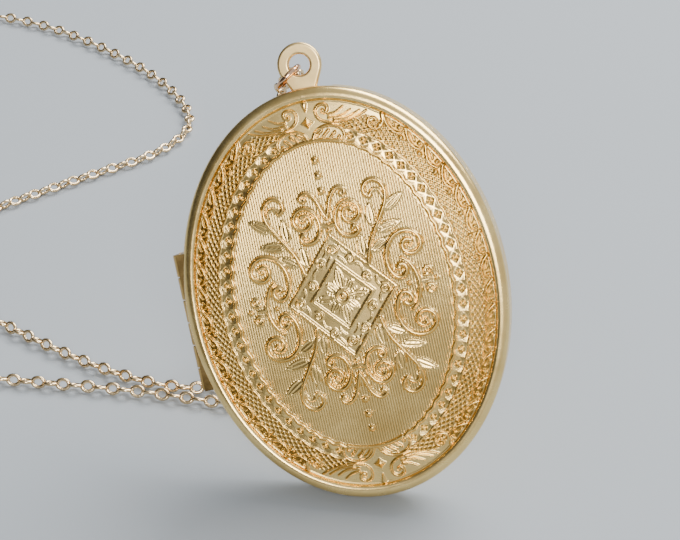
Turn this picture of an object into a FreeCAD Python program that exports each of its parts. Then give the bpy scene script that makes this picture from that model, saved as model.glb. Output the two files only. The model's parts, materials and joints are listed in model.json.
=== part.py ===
"""Oval hinged locket standing on its rim, with its bail, jump ring and cable-chain necklace.

The locket is drawn flat in its own frame: X along the short axis (hinge at -X), Y along the long
axis (bail at +Y), Z towards the decorated cover, with the seam between the two halves at Z = 0.
The finished pieces are then leaned back and rolled as the locket stands on a table.
"""
import FreeCAD, Part
import math
import os

import Sketcher

App = FreeCAD
V = App.Vector

# ---------------------------------------------------------------- driving dimensions (mm, degrees)
SIZES = [
    ("case_width", 38.5, "short axis of the oval case"),
    ("case_height", 49.5, "long axis of the oval case"),
    ("front_rim_height", 2.4, "height of the cover's rim above the seam"),
    ("back_rim_height", 3.0, "depth of the back's rim below the seam"),
    ("rim_width", 1.5, "width of the smooth rim round each panel"),
    ("rim_round", 1.0, "outer rounding of the rims"),
    ("rim_inner_round", 0.4, "rounding of the rims next to the panels"),
    ("panel_drop", 0.5, "how far a panel's edge lies below its rim"),
    ("panel_wall", 0.45, "sheet thickness of the stamped panels"),
    ("cover_rise", 1.45, "rise of the cover panel from its edge to its centre"),
    ("back_rise", 2.2, "rise of the back panel's curve before it is flattened"),
    ("back_flat_rise", 1.7, "height of the flat field on the back panel above its edge"),
    ("dome_depth", 12.0, "depth of the ellipsoids that the panels follow"),
    ("skirt_wall", 0.9, "thickness of the cover's skirt"),
    ("lip_clearance", 0.1, "gap between the skirt and the closing lip"),
    ("lip_wall", 0.5, "thickness of the closing lip"),
    ("lip_height", 0.8, "height of the closing lip above the seam"),
    ("catch_height", 0.06, "height of the snap bump on the closing lip"),
    ("catch_length", 1.6, "length of the snap bump"),
    ("ledge_depth", 1.0, "distance from the seam to the ledges under the panels"),
    ("ledge_offset", 1.9, "inner edge of the ledges, in from the case outline"),
    ("frame_gap", 0.3, "distance from the seam to a photo frame's face"),
    ("frame_wall", 0.6, "thickness of a photo frame's wall"),
    ("frame_flange", 1.2, "width of a photo frame's flange"),
    ("flange_depth", 0.25, "thickness of a photo frame's flange"),
    ("frame_back", 1.35, "distance from the seam to a photo frame's back edge"),
    ("window_play", 0.03, "gap round the windows and photo cards"),
    ("window_thick", 0.3, "thickness of the clear windows"),
    ("card_thick", 0.25, "thickness of the photo cards"),
    ("hinge_inset", 0.15, "hinge axis in from the case outline"),
    ("hinge_length", 16.8, "length of the hinge barrel"),
    ("knuckle_count", 6, "number of knuckles along the hinge"),
    ("knuckle_round", 0.12, "outer rounding of the knuckles' ends"),
    ("knuckle_gap", 0.12, "gap between neighbouring knuckles"),
    ("barrel_dia", 1.4, "outer diameter of the knuckles"),
    ("pin_dia", 0.7, "hinge pin diameter"),
    ("pin_round", 0.1, "rounding of the pins' ends"),
    ("pin_clearance", 0.02, "radial clearance between pin and knuckles"),
    ("barrel_clearance", 0.06, "radial gap between a knuckle and the other half's leaf"),
    ("leaf_inner", 0.95, "inner edge of the hinge leaves from the hinge axis"),
    ("leaf_outer", 0.12, "outer edge of the hinge leaves from the hinge axis"),
    ("leaf_depth", 1.3, "depth of the hinge leaves from the seam"),
    ("seam_gap", 0.05, "half of the gap between the two hinge leaves"),
    ("notch_width", 6.6, "width of the notch for the bail tab"),
    ("notch_depth", 0.7, "depth of the notch for the bail tab"),
    ("nail_groove_dia", 0.9, "diameter of the thumbnail groove in the back's rim"),
    ("nail_groove_length", 6.0, "length of the thumbnail groove"),
    ("bail_reach", 2.75, "centre of the bail's eye beyond the case outline"),
    ("bail_dia", 5.3, "outer diameter of the bail's eye"),
    ("bail_hole", 2.5, "hole of the bail's eye"),
    ("bail_neck", 2.5, "width of the bail tab where it meets the case"),
    ("bail_thick", 0.9, "thickness of the bail tab"),
    ("bail_depth", 0.45, "distance from the seam to the bail tab's face"),
    ("bail_round", 0.3, "edge rounding of the bail tab"),
    ("jump_dia", 4.0, "outer diameter of the jump ring"),
    ("jump_wire", 0.66, "wire diameter of the jump ring"),
    ("jump_sweep", 357.5, "angle that the jump ring's wire covers, the rest is its butt joint"),
    ("jump_hang", 0.5, "jump ring's centre from the middle of the bail's band"),
    ("jump_side", 214.0, "side of the eye that the jump ring hangs from, from +X towards +Y"),
    ("jump_drape", 52.0, "direction in which the chain leaves the jump ring, from straight down to the back"),
    ("link_length", 2.1, "outer length of a chain link"),
    ("link_width", 1.7, "outer width of a chain link"),
    ("link_wire", 0.42, "wire width of a chain link"),
    ("link_play", 0.2, "gap between a chain link and the jump ring"),
    ("link_spread", 26.0, "angle of the two end links from the jump ring's lowest point"),
    ("chain_dia", 1.7, "outer diameter of the chain"),
    ("lean", 25.0, "how far the locket leans back from upright"),
    ("roll", 16.0, "how far the locket's top is rolled towards -X"),
    ("clasp_length", 9.0, "length of the clasp's loop"),
    ("clasp_width", 5.0, "width of the clasp's loop"),
    ("clasp_wall", 1.25, "width of the clasp's band"),
    ("clasp_thick", 1.6, "thickness of the clasp"),
    ("lever_thick", 0.6, "thickness of the lever's tongue"),
    ("lever_play", 0.08, "gap round the clasp's lever"),
    ("lever_pin_dia", 0.5, "diameter of the lever's pin"),
    ("lever_grip", 0.35, "metal round the pin in the lever's tongue"),
    ("lever_bore_play", 0.03, "gap between the lever and its pin"),
    ("tongue_rise", 0.36, "how far the lever's tongue reaches beyond its pin"),
    ("gate_play", 0.75, "how far the gate is cut below the clasp's band"),
    ("clasp_eye_dia", 2.5, "outer diameter of the clasp's eye"),
    ("clasp_eye_hole", 1.55, "hole of the clasp's eye"),
    ("clasp_eye_thick", 0.48, "thickness of the clasp's eye"),
    ("clasp_ring_dia", 2.8, "outer diameter of the ring between chain and clasp"),
    ("clasp_ring_wire", 0.45, "wire diameter of that ring"),
    ("end_ring_dia", 4.4, "outer diameter of the ring that the clasp hooks"),
    ("end_ring_wire", 0.5, "wire diameter of that ring"),
]

# The chain's two strands, as points chosen by hand in the row's frame. Each leaves the jump ring,
# hangs behind the locket and lies loosely on the table.
CLASP_STRAND = [
    (-7.6, 14.5, 43.6), (-6.8, 17.0, 39.6), (-6.2, 18.2, 30.5), (-5.9, 18.7, 19.0),
    (-5.1, 18.8, 8.4), (-1.4, 18.5, 0.95), (5.6, 16.9, 0.85), (12.4, 13.1, 0.85),
    (12.8, 5.9, 0.85), (6.6, 2.1, 0.85), (-1.7, 2.0, 0.85), (-10.2, 3.7, 0.85),
    (-18.9, 4.8, 0.85), (-29.9, 5.4, 0.85), (-41.5, 5.1, 0.85), (-54.6, 5.2, 0.85),
    (-68.0, 7.4, 0.85), (-80.6, 14.8, 0.85), (-86.6, 26.4, 0.85),
]
RING_STRAND = [
    (-9.4, 12.9, 42.6), (-10.4, 15.6, 38.4), (-11.3, 17.1, 29.5), (-11.6, 17.6, 18.5),
    (-11.9, 17.8, 10.5), (-12.6, 16.2, 3.0), (-14.0, 10.6, 0.85), (-18.5, 7.0, 0.85),
    (-26.0, 7.0, 0.85), (-35.5, 10.3, 0.85), (-46.0, 15.8, 0.85), (-55.8, 21.4, 0.85),
    (-63.8, 28.8, 0.85),
    (-65.0, 38.8, 0.85), (-57.0, 47.5, 0.85), (-47.2, 57.3, 0.85), (-37.8, 65.7, 0.85),
    (-34.6, 75.7, 0.85), (-41.8, 87.3, 0.85), (-53.8, 97.3, 0.85), (-67.6, 105.1, 0.85),
    (-81.0, 107.4, 0.85), (-91.4, 100.0, 0.85), (-95.0, 88.4, 0.85), (-93.4, 75.6, 0.85),
    (-89.4, 63.4, 0.85),
]
CLASP_TURN = 108.0  # direction in which the clasp points on the table, in degrees from +X
CLASP_CHAIN_GAP = 7.3  # from the end of its strand to the clasp's centre
CLASP_RING_X = -6.0  # the clasp ring's centre along the clasp, from the clasp's centre
TABLE_GAP = 0.02  # height of the clasp ring above the table
BEND_SHARE = 0.45  # share of a route's shorter run that its bend takes up

doc = App.newDocument("locket")
sheet = doc.addObject("Spreadsheet::Sheet", "sizes")
for row, (alias, value, note) in enumerate(SIZES, start=1):
    sheet.set("A%d" % row, alias)
    sheet.set("B%d" % row, str(value))
    sheet.set("C%d" % row, note)
    sheet.setAlias("B%d" % row, alias)
doc.recompute()


def size(alias):
    """The value of one driving dimension."""
    return float(sheet.get(alias))


def bind(obj, **expressions):
    """Bind properties of obj to expressions; s. stands for the sheet, __ for a dot in a path."""
    for prop, text in expressions.items():
        obj.setExpression(prop.replace("__", "."), str(text).replace("s.", "sizes."))
    return obj


# ---------------------------------------------------------------- small builders
def disc(name, inset, low, high):
    """A flat oval plate: the case outline moved in by inset, from Z = low to Z = high."""
    outline = doc.addObject("Part::Ellipse", name + "_outline")
    outline.Placement = App.Placement(V(0, 0, 0), App.Rotation(V(0, 0, 1), 90))
    bind(outline, MajorRadius="s.case_height / 2 - (%s)" % inset,
         MinorRadius="s.case_width / 2 - (%s)" % inset, Placement__Base__z=low)
    plate = doc.addObject("Part::Extrusion", name)
    plate.Base = outline
    plate.DirMode = "Custom"
    plate.Dir = V(0, 0, 1)
    plate.Solid = True
    bind(plate, LengthFwd="(%s) - (%s)" % (high, low))
    return plate


def box(name, low, high):
    """A box between two corners, each given as three expressions."""
    block = doc.addObject("Part::Box", name)
    sides = ["(%s) - (%s)" % (top, bottom) for bottom, top in zip(low, high)]
    bind(block, Length=sides[0], Width=sides[1], Height=sides[2], Placement__Base__x=low[0],
         Placement__Base__y=low[1], Placement__Base__z=low[2])
    return block


def rod(name, radius, length, x, y, z="0"):
    """A cylinder along +Y, starting at (x, y, z)."""
    bar = doc.addObject("Part::Cylinder", name)
    bar.Placement = App.Placement(V(0, 0, 0), App.Rotation(V(1, 0, 0), -90))
    bind(bar, Radius=radius, Height=length, Placement__Base__x=x, Placement__Base__y=y,
         Placement__Base__z=z)
    return bar


def fuse(name, *pieces):
    """One solid from several that touch."""
    joined = doc.addObject("Part::MultiFuse", name)
    joined.Shapes = list(pieces)
    joined.Refine = False
    return joined


def cut(name, base, tool):
    """base with tool taken away."""
    result = doc.addObject("Part::Cut", name)
    result.Base = base
    result.Tool = tool
    return result


def common(name, first, second):
    """What two solids share."""
    shared = doc.addObject("Part::Common", name)
    shared.Base = first
    shared.Tool = second
    return shared


def round_edges(name, base, chosen):
    """Fillet the edges of base that chosen picks; it gives each edge's radius, or None."""
    doc.recompute()
    rounded = doc.addObject("Part::Fillet", name)
    rounded.Base = base
    radii = [(number, chosen(edge)) for number, edge in enumerate(base.Shape.Edges, start=1)]
    rounded.Edges = [(number, radius, radius) for number, radius in radii if radius]
    return rounded


def ring_edge(level, outer_radius, inner_radius):
    """A chooser for round_edges: the outer and inner oval edges at one level."""
    def chosen(edge):
        bounds = edge.BoundBox
        if abs(bounds.ZMin - level) > 1e-4 or bounds.ZLength > 1e-4:
            return None
        outer = bounds.YLength > size("case_height") - size("rim_width")
        return outer_radius if outer else inner_radius
    return chosen


def dome(name, inset, edge_level, rise, sense, shift="0"):
    """An ellipsoid whose cap passes through an oval edge; sense is 1 for the front, -1 for the back."""
    depth = "s.dome_depth"
    share = "sqrt(1 - ((%s - %s) / %s) ^ 2)" % (depth, rise, depth)
    ball = doc.addObject("Part::Ellipsoid", name)
    ball.Angle1 = -90
    ball.Angle2 = 90
    ball.Angle3 = 360
    bind(ball, Radius1=depth, Radius2="(s.case_width / 2 - %s) / %s" % (inset, share),
         Radius3="(s.case_height / 2 - %s) / %s" % (inset, share),
         Placement__Base__z="%d * (%s + %s - %s - (%s))" % (sense, edge_level, rise, depth, shift))
    return ball


# ---------------------------------------------------------------- shared expressions
HINGE_X = "-(s.case_width / 2 - s.hinge_inset)"
LIP_OFFSET = "s.skirt_wall + s.lip_clearance"
FRONT_EDGE = "s.front_rim_height - s.panel_drop"
BACK_EDGE = "s.back_rim_height - s.panel_drop"
KNUCKLE_PITCH = "s.hinge_length / s.knuckle_count"


def hinge_seat(name):
    """The slot in the rims that takes the hinge leaves."""
    return box(name, ("%s - s.barrel_dia" % HINGE_X, "-s.hinge_length / 2", "-s.leaf_depth"),
               ("%s + s.leaf_inner" % HINGE_X, "s.hinge_length / 2", "s.leaf_depth"))


# ---------------------------------------------------------------- the two halves' rims
def make_front_rim():
    """The cover's rim: skirt, ledge and panel seat, with the smooth rounded bead outside."""
    solid = disc("front_rim_solid", "0", "0", "s.front_rim_height")
    hollow = fuse("front_rim_hollow",
                  disc("front_skirt_hollow", "s.skirt_wall", "-1", "s.ledge_depth"),
                  disc("front_ledge_hollow", "s.ledge_offset", "-1", "s.front_rim_height + 1"),
                  disc("front_seat_hollow", "s.rim_width", FRONT_EDGE + " - s.panel_wall",
                       "s.front_rim_height + 1"))
    plain = cut("front_rim_plain", solid, hollow)
    rounded = round_edges("front_rim_rounded", plain,
                          ring_edge(size("front_rim_height"), size("rim_round"), size("rim_inner_round")))
    return cut("front_rim", rounded, hinge_seat("front_hinge_seat"))


def make_back_rim():
    """The back's rim, with the bail notch, the hinge slot and a thumbnail groove at the seam."""
    solid = disc("back_rim_solid", "0", "-s.back_rim_height", "0")
    hollow = fuse("back_rim_hollow",
                  disc("back_wall_hollow", LIP_OFFSET, "-s.ledge_depth", "1"),
                  disc("back_ledge_hollow", "s.ledge_offset", "-s.back_rim_height - 1", "1"),
                  disc("back_seat_hollow", "s.rim_width", "-s.back_rim_height - 1",
                       "-(%s) + s.panel_wall" % BACK_EDGE))
    plain = cut("back_rim_plain", solid, hollow)
    rounded = round_edges("back_rim_rounded", plain,
                          ring_edge(-size("back_rim_height"), size("rim_round"), size("rim_inner_round")))
    notch = box("bail_notch", ("-s.notch_width / 2", "s.case_height / 2 - s.notch_depth",
                               "-s.back_rim_height - 1"),
                ("s.notch_width / 2", "s.case_height / 2 + 1", "1"))
    groove = rod("nail_groove", "s.nail_groove_dia / 2", "s.nail_groove_length",
                 "s.case_width / 2 + s.nail_groove_dia / 8", "-s.nail_groove_length / 2")
    return cut("back_rim", rounded, fuse("back_rim_cuts", hinge_seat("back_hinge_seat"), notch, groove))


def make_closing_lip():
    """The thin wall on the back half that the cover's skirt closes over, with its snap bump."""
    wall = cut("lip_ring", disc("lip_solid", LIP_OFFSET, "-s.ledge_depth", "s.lip_height"),
               disc("lip_hollow", LIP_OFFSET + " + s.lip_wall", "-s.ledge_depth - 1", "s.lip_height + 1"))
    opening = box("lip_opening", ("-s.case_width", "-s.hinge_length / 2 - s.lip_wall", "-s.case_width"),
                  ("0", "s.hinge_length / 2 + s.lip_wall", "s.case_width"))
    bump_radius = "(s.lip_wall / 2)"
    bump = rod("snap_bump", bump_radius, "s.catch_length",
               "s.case_width / 2 - (%s) + s.catch_height - %s" % (LIP_OFFSET, bump_radius),
               "-s.catch_length / 2", "s.lip_height / 2")
    return fuse("closing_lip", cut("lip_wall_open", wall, opening), bump)


# ---------------------------------------------------------------- the panels
def make_front_panel():
    """The stamped, domed cover panel that sits inside the front rim."""
    low = "%s - s.panel_wall" % FRONT_EDGE
    blank = disc("front_panel_blank", "s.rim_width", low, "s.dome_depth")
    outside = dome("front_dome", "s.rim_width", FRONT_EDGE, "s.cover_rise", 1)
    inside = dome("front_dome_inside", "s.rim_width", FRONT_EDGE, "s.cover_rise", 1, "s.panel_wall")
    return cut("front_panel", common("front_panel_cap", blank, outside), inside)


def make_back_panel():
    """The stamped back panel: a shallow curve with a flat field to rest on."""
    flat = "-(%s + s.back_flat_rise)" % BACK_EDGE
    blank = disc("back_panel_blank", "s.rim_width", flat, "-(%s) + s.panel_wall" % BACK_EDGE)
    outside = dome("back_dome", "s.rim_width", BACK_EDGE, "s.back_rise", -1)
    inside = common("back_panel_inside",
                    dome("back_dome_inside", "s.rim_width", BACK_EDGE, "s.back_rise", -1, "s.panel_wall"),
                    disc("back_inside_blank", "0", flat + " + s.panel_wall", "s.dome_depth"))
    return cut("back_panel", common("back_panel_cap", blank, outside), inside)


# ---------------------------------------------------------------- photo frames, windows and cards
def make_photo_set(side, sense):
    """A photo frame, its clear window and the card behind it; sense is 1 in front, -1 behind."""
    def layer(name, inset, near, far):
        if sense > 0:
            return disc(name, inset, near, far)
        return disc(name, inset, "-(%s)" % far, "-(%s)" % near)
    seat = "(s.frame_gap + s.flange_depth)"
    hollow = fuse(side + "_frame_hollow",
                  layer(side + "_frame_view", "s.ledge_offset + s.frame_flange", "0", "s.frame_back"),
                  layer(side + "_frame_seat", "s.ledge_offset + s.frame_wall", seat, "s.frame_back + 1"))
    frame = cut(side + "_frame", layer(side + "_frame_solid", "s.ledge_offset", "s.frame_gap",
                                       "s.frame_back"), hollow)
    inset = "s.ledge_offset + s.frame_wall + s.window_play"
    window = layer(side + "_window", inset, seat, seat + " + s.window_thick")
    card = layer(side + "_photo_card", inset, seat + " + s.window_thick",
                 seat + " + s.window_thick + s.card_thick")
    return frame, window, card


# ---------------------------------------------------------------- the hinge
def knuckle_start(index):
    """The Y expression where a knuckle's share of the barrel starts."""
    return "-s.hinge_length / 2 + %d * %s" % (index, KNUCKLE_PITCH)


def knuckle_end(edge):
    """A chooser for round_edges: the outer rounding on a knuckle's two ends."""
    outer = len(edge.Vertexes) == 1 and edge.BoundBox.XLength > (size("barrel_dia") + size("pin_dia")) / 2
    return size("knuckle_round") if outer else None


def make_knuckle(index):
    """One length of joint tube, with its bore for the hinge pin and its outer ends rounded."""
    start = "%s + s.knuckle_gap / 2" % knuckle_start(index)
    length = "%s - s.knuckle_gap" % KNUCKLE_PITCH
    tube = rod("knuckle_tube_%d" % index, "s.barrel_dia / 2", length, HINGE_X, start)
    bore = rod("knuckle_bore_%d" % index, "s.pin_dia / 2 + s.pin_clearance", "%s + 2" % length,
               HINGE_X, "%s - 1" % start)
    blank = cut("knuckle_blank_%d" % index, tube, bore)
    return round_edges("hinge_knuckle_%d" % (index + 1), blank, knuckle_end)


def make_leaf(name, sense, own):
    """A hinge leaf: it holds its own knuckles and stands clear of the other half's."""
    near, far = ("s.seam_gap", "s.leaf_depth") if sense > 0 else ("-s.leaf_depth", "-s.seam_gap")
    block = box(name + "_block", ("%s - s.leaf_outer" % HINGE_X, "-s.hinge_length / 2", near),
                ("%s + s.leaf_inner" % HINGE_X, "s.hinge_length / 2", far))
    seats = []
    for index in range(int(size("knuckle_count"))):
        play = "0" if index % 2 == own else "s.barrel_clearance"
        seats.append(rod("%s_seat_%d" % (name, index), "s.barrel_dia / 2 + %s" % play, KNUCKLE_PITCH,
                         HINGE_X, knuckle_start(index)))
    return cut(name, block, fuse(name + "_seats", *seats))


def pin_end(edge):
    """A chooser for round_edges: a small rounding on a pin's two ends."""
    return size("pin_round") if len(edge.Vertexes) == 1 else None


def make_hinge_pin():
    """The pin through all the knuckles, its ends slightly rounded."""
    blank = rod("hinge_pin_blank", "s.pin_dia / 2", "s.hinge_length", HINGE_X, "-s.hinge_length / 2")
    return round_edges("hinge_pin", blank, pin_end)


# ---------------------------------------------------------------- bail and jump ring
def make_bail():
    """The flat teardrop tab with a round eye, fixed in the notch of the back's rim."""
    body = doc.addObject("PartDesign::Body", "bail_tab")
    plane = next(f for f in body.Origin.OriginFeatures if f.Role == "XY_Plane")
    eye_y = size("case_height") / 2 + size("bail_reach")
    base_y = size("case_height") / 2 - size("notch_depth")
    radius = size("bail_dia") / 2
    half_neck = size("bail_neck") / 2
    drop = eye_y - base_y
    start = math.acos(radius / math.hypot(half_neck, drop)) - math.atan2(drop, half_neck)
    outline = body.newObject("Sketcher::SketchObject", "bail_outline")
    outline.AttachmentSupport = [(plane, "")]
    outline.MapMode = "FlatFace"
    circle = Part.Circle(V(0, eye_y, 0), V(0, 0, 1), radius)
    outline.addGeometry(Part.ArcOfCircle(circle, start, math.pi - start))
    right = V(radius * math.cos(start), eye_y + radius * math.sin(start), 0)
    left = V(-right.x, right.y, 0)
    outline.addGeometry(Part.LineSegment(V(half_neck, base_y, 0), right))
    outline.addGeometry(Part.LineSegment(V(-half_neck, base_y, 0), V(half_neck, base_y, 0)))
    outline.addGeometry(Part.LineSegment(left, V(-half_neck, base_y, 0)))
    outline.addConstraint([
        Sketcher.Constraint("Tangent", 1, 2, 0, 1),
        Sketcher.Constraint("Tangent", 0, 2, 3, 1),
        Sketcher.Constraint("Coincident", 2, 2, 1, 1),
        Sketcher.Constraint("Coincident", 3, 2, 2, 1),
        Sketcher.Constraint("PointOnObject", 0, 3, -2),
        Sketcher.Constraint("Symmetric", 2, 1, 2, 2, -2),
    ])
    driven = [(Sketcher.Constraint("Radius", 0, radius), "s.bail_dia / 2"),
              (Sketcher.Constraint("DistanceX", 2, 1, 2, 2, 2 * half_neck), "s.bail_neck"),
              (Sketcher.Constraint("DistanceY", -1, 1, 0, 3, eye_y), "s.case_height / 2 + s.bail_reach"),
              (Sketcher.Constraint("DistanceY", -1, 1, 2, 1, base_y), "s.case_height / 2 - s.notch_depth")]
    for constraint, text in driven:
        number = outline.addConstraint(constraint)
        bind(outline, **{"Constraints[%d]" % number: text})
    plate = body.newObject("PartDesign::Pad", "bail_plate")
    plate.Profile = outline
    plate.Reversed = True
    bind(plate, Length="s.bail_thick")
    hole_sketch = body.newObject("Sketcher::SketchObject", "bail_hole_outline")
    hole_sketch.AttachmentSupport = [(plane, "")]
    hole_sketch.MapMode = "FlatFace"
    hole_sketch.addGeometry(Part.Circle(V(0, eye_y, 0), V(0, 0, 1), size("bail_hole") / 2))
    hole_sketch.addConstraint(Sketcher.Constraint("PointOnObject", 0, 3, -2))
    for constraint, text in [
            (Sketcher.Constraint("Radius", 0, size("bail_hole") / 2), "s.bail_hole / 2"),
            (Sketcher.Constraint("DistanceY", -1, 1, 0, 3, eye_y), "s.case_height / 2 + s.bail_reach")]:
        number = hole_sketch.addConstraint(constraint)
        bind(hole_sketch, **{"Constraints[%d]" % number: text})
    hole = body.newObject("PartDesign::Pocket", "bail_eye")
    hole.Profile = hole_sketch
    hole.Midplane = True
    bind(hole, Length="4 * s.bail_thick")
    doc.recompute()
    flat_edges = [number for number, edge in enumerate(hole.Shape.Edges, start=1)
                  if edge.BoundBox.ZLength < 1e-6 and edge.BoundBox.YMin > base_y + 1e-6]
    rounded = body.newObject("PartDesign::Fillet", "bail_rounded")
    rounded.Base = (hole, ["Edge%d" % number for number in flat_edges])
    bind(rounded, Radius="s.bail_round")
    return body


def jump_frame():
    """The jump ring's place in the locket's own frame: its centre, the directions that it hangs,
    runs and faces in, and the direction in which the chain pulls."""
    side = math.radians(size("jump_side"))
    outward = V(math.cos(side), math.sin(side), 0)
    eye = V(0, size("case_height") / 2 + size("bail_reach"), -size("bail_depth") - size("bail_thick") / 2)
    band = eye + outward * ((size("bail_dia") + size("bail_hole")) / 4)
    drape = math.radians(size("jump_drape"))
    pull = STAND.inverted().multVec(V(0, math.sin(drape), -math.cos(drape)))
    across = outward.cross(V(0, 0, 1))
    hang = (pull - across * pull.dot(across)).normalize()
    along = across.cross(hang)
    return band + hang * size("jump_hang"), hang, along, across, pull


def make_jump_ring():
    """The round wire ring in the bail's eye, its butt joint turned to the front."""
    ring = doc.addObject("Part::Torus", "jump_ring")
    bind(ring, Radius1="(s.jump_dia - s.jump_wire) / 2", Radius2="s.jump_wire / 2", Angle3="s.jump_sweep")
    centre, _, _, across, _ = jump_frame()
    joint = V(0, 0, 1)
    ring.Placement = App.Placement(centre, App.Rotation(joint, across.cross(joint), across, "ZXY"))
    return ring


def oval_link(name):
    """One flat oval chain link about its own centre, long along X, its wire rounded at the edges."""
    rings = []
    for part, trim in (("outer", "0"), ("inner", "s.link_wire")):
        outline = doc.addObject("Part::Ellipse", "%s_%s" % (name, part))
        bind(outline, MajorRadius="s.link_length / 2 - %s" % trim, MinorRadius="s.link_width / 2 - %s" % trim)
        plate = doc.addObject("Part::Extrusion", "%s_%s_plate" % (name, part))
        plate.Base = outline
        plate.DirMode = "Custom"
        plate.Dir = V(0, 0, 1)
        plate.Solid = True
        plate.Symmetric = True
        bind(plate, LengthFwd="s.link_wire")
        rings.append(plate)
    flat = cut(name + "_flat", *rings)
    return round_edges(name, flat, lambda edge: size("link_wire") / 4 if edge.BoundBox.ZLength < 1e-5 else None)


def make_end_link(name, turn):
    """The chain's end link on the jump ring, turned from the ring's lowest point."""
    link = oval_link(name)
    centre, hang, along, _, pull = jump_frame()
    angle = math.radians(turn)
    outward = hang * math.cos(angle) + along * math.sin(angle)
    tangent = along * math.cos(angle) - hang * math.sin(angle)
    lengthways = (pull - tangent * pull.dot(tangent)).normalize()
    wire = centre + outward * ((size("jump_dia") - size("jump_wire")) / 2)
    reach = size("link_length") / 2 - size("link_wire") - size("jump_wire") / 2 - size("link_play")
    link.Placement = App.Placement(wire + lengthways * reach,
                                   App.Rotation(lengthways, tangent.cross(lengthways), tangent, "ZXY"))
    return link


# ---------------------------------------------------------------- the chain, clasp and end rings
def strand_shape(points, diameter):
    """A tube of straight runs and tangent arcs through a strand's route."""
    corners = [V(*point) for point in points]
    edges = []
    radii = []
    start = corners[0]
    for before, corner, after in zip(corners, corners[1:], corners[2:]):
        inward = (before - corner).normalize()
        outward = (after - corner).normalize()
        half_turn = (math.pi - inward.getAngle(outward)) / 2
        trim = BEND_SHARE * min((before - corner).Length, (after - corner).Length)
        radius = trim / math.tan(half_turn)
        radii.append(radius)
        enter = corner + inward * trim
        leave = corner + outward * trim
        bisector = (inward + outward).normalize()
        middle = corner + bisector * (radius / math.cos(half_turn) - radius)
        edges.append(Part.LineSegment(start, enter).toShape())
        edges.append(Part.Arc(enter, middle, leave).toShape())
        start = leave
    edges.append(Part.LineSegment(start, corners[-1]).toShape())
    path = Part.Wire(edges)
    first = (corners[1] - corners[0]).normalize()
    profile = Part.Wire([Part.Circle(corners[0], first, diameter / 2).toShape()])
    tube = path.makePipeShell([profile], True, False)
    expected = path.Length * math.pi * diameter ** 2 / 4
    print("strand length %.1f mm, smallest radius %.2f mm, volume share %.4f"
          % (path.Length, min(radii), tube.Volume / expected))
    return tube


def make_strand(name, points):
    """One strand of the chain as a plain tube along its route on the table."""
    strand = doc.addObject("Part::Feature", name)
    strand.Shape = strand_shape(points, size("chain_dia"))
    return strand


def clasp_oval(name, trim, thick):
    """A flat oval of the clasp, from its outline moved in by trim."""
    outline = doc.addObject("Part::Ellipse", name + "_outline")
    bind(outline, MajorRadius="s.clasp_length / 2 - %s" % trim, MinorRadius="s.clasp_width / 2 - %s" % trim)
    plate = doc.addObject("Part::Extrusion", name)
    plate.Base = outline
    plate.DirMode = "Custom"
    plate.Dir = V(0, 0, 1)
    plate.Solid = True
    plate.Symmetric = True
    bind(plate, LengthFwd=thick)
    return plate


def clasp_pin(name, radius, height):
    """A cylinder along Z at the lever's pivot."""
    pin = doc.addObject("Part::Cylinder", name)
    bind(pin, Radius=radius, Height=height, Placement__Base__x=PIVOT_X, Placement__Base__y=PIVOT_Y,
         Placement__Base__z="-(%s) / 2" % height)
    return pin


PIVOT_X = "-s.clasp_length / 4"
# The pivot lies on the middle line of the clasp's oval band, which comes in towards its ends.
PIVOT_RISE = 0.86
PIVOT_Y = "(s.clasp_width / 2 - s.clasp_wall / 2) * %s" % PIVOT_RISE
GATE_START = "(%s + s.lever_pin_dia + s.lever_play)" % PIVOT_X
GATE_END = "s.clasp_length / 4"


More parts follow.
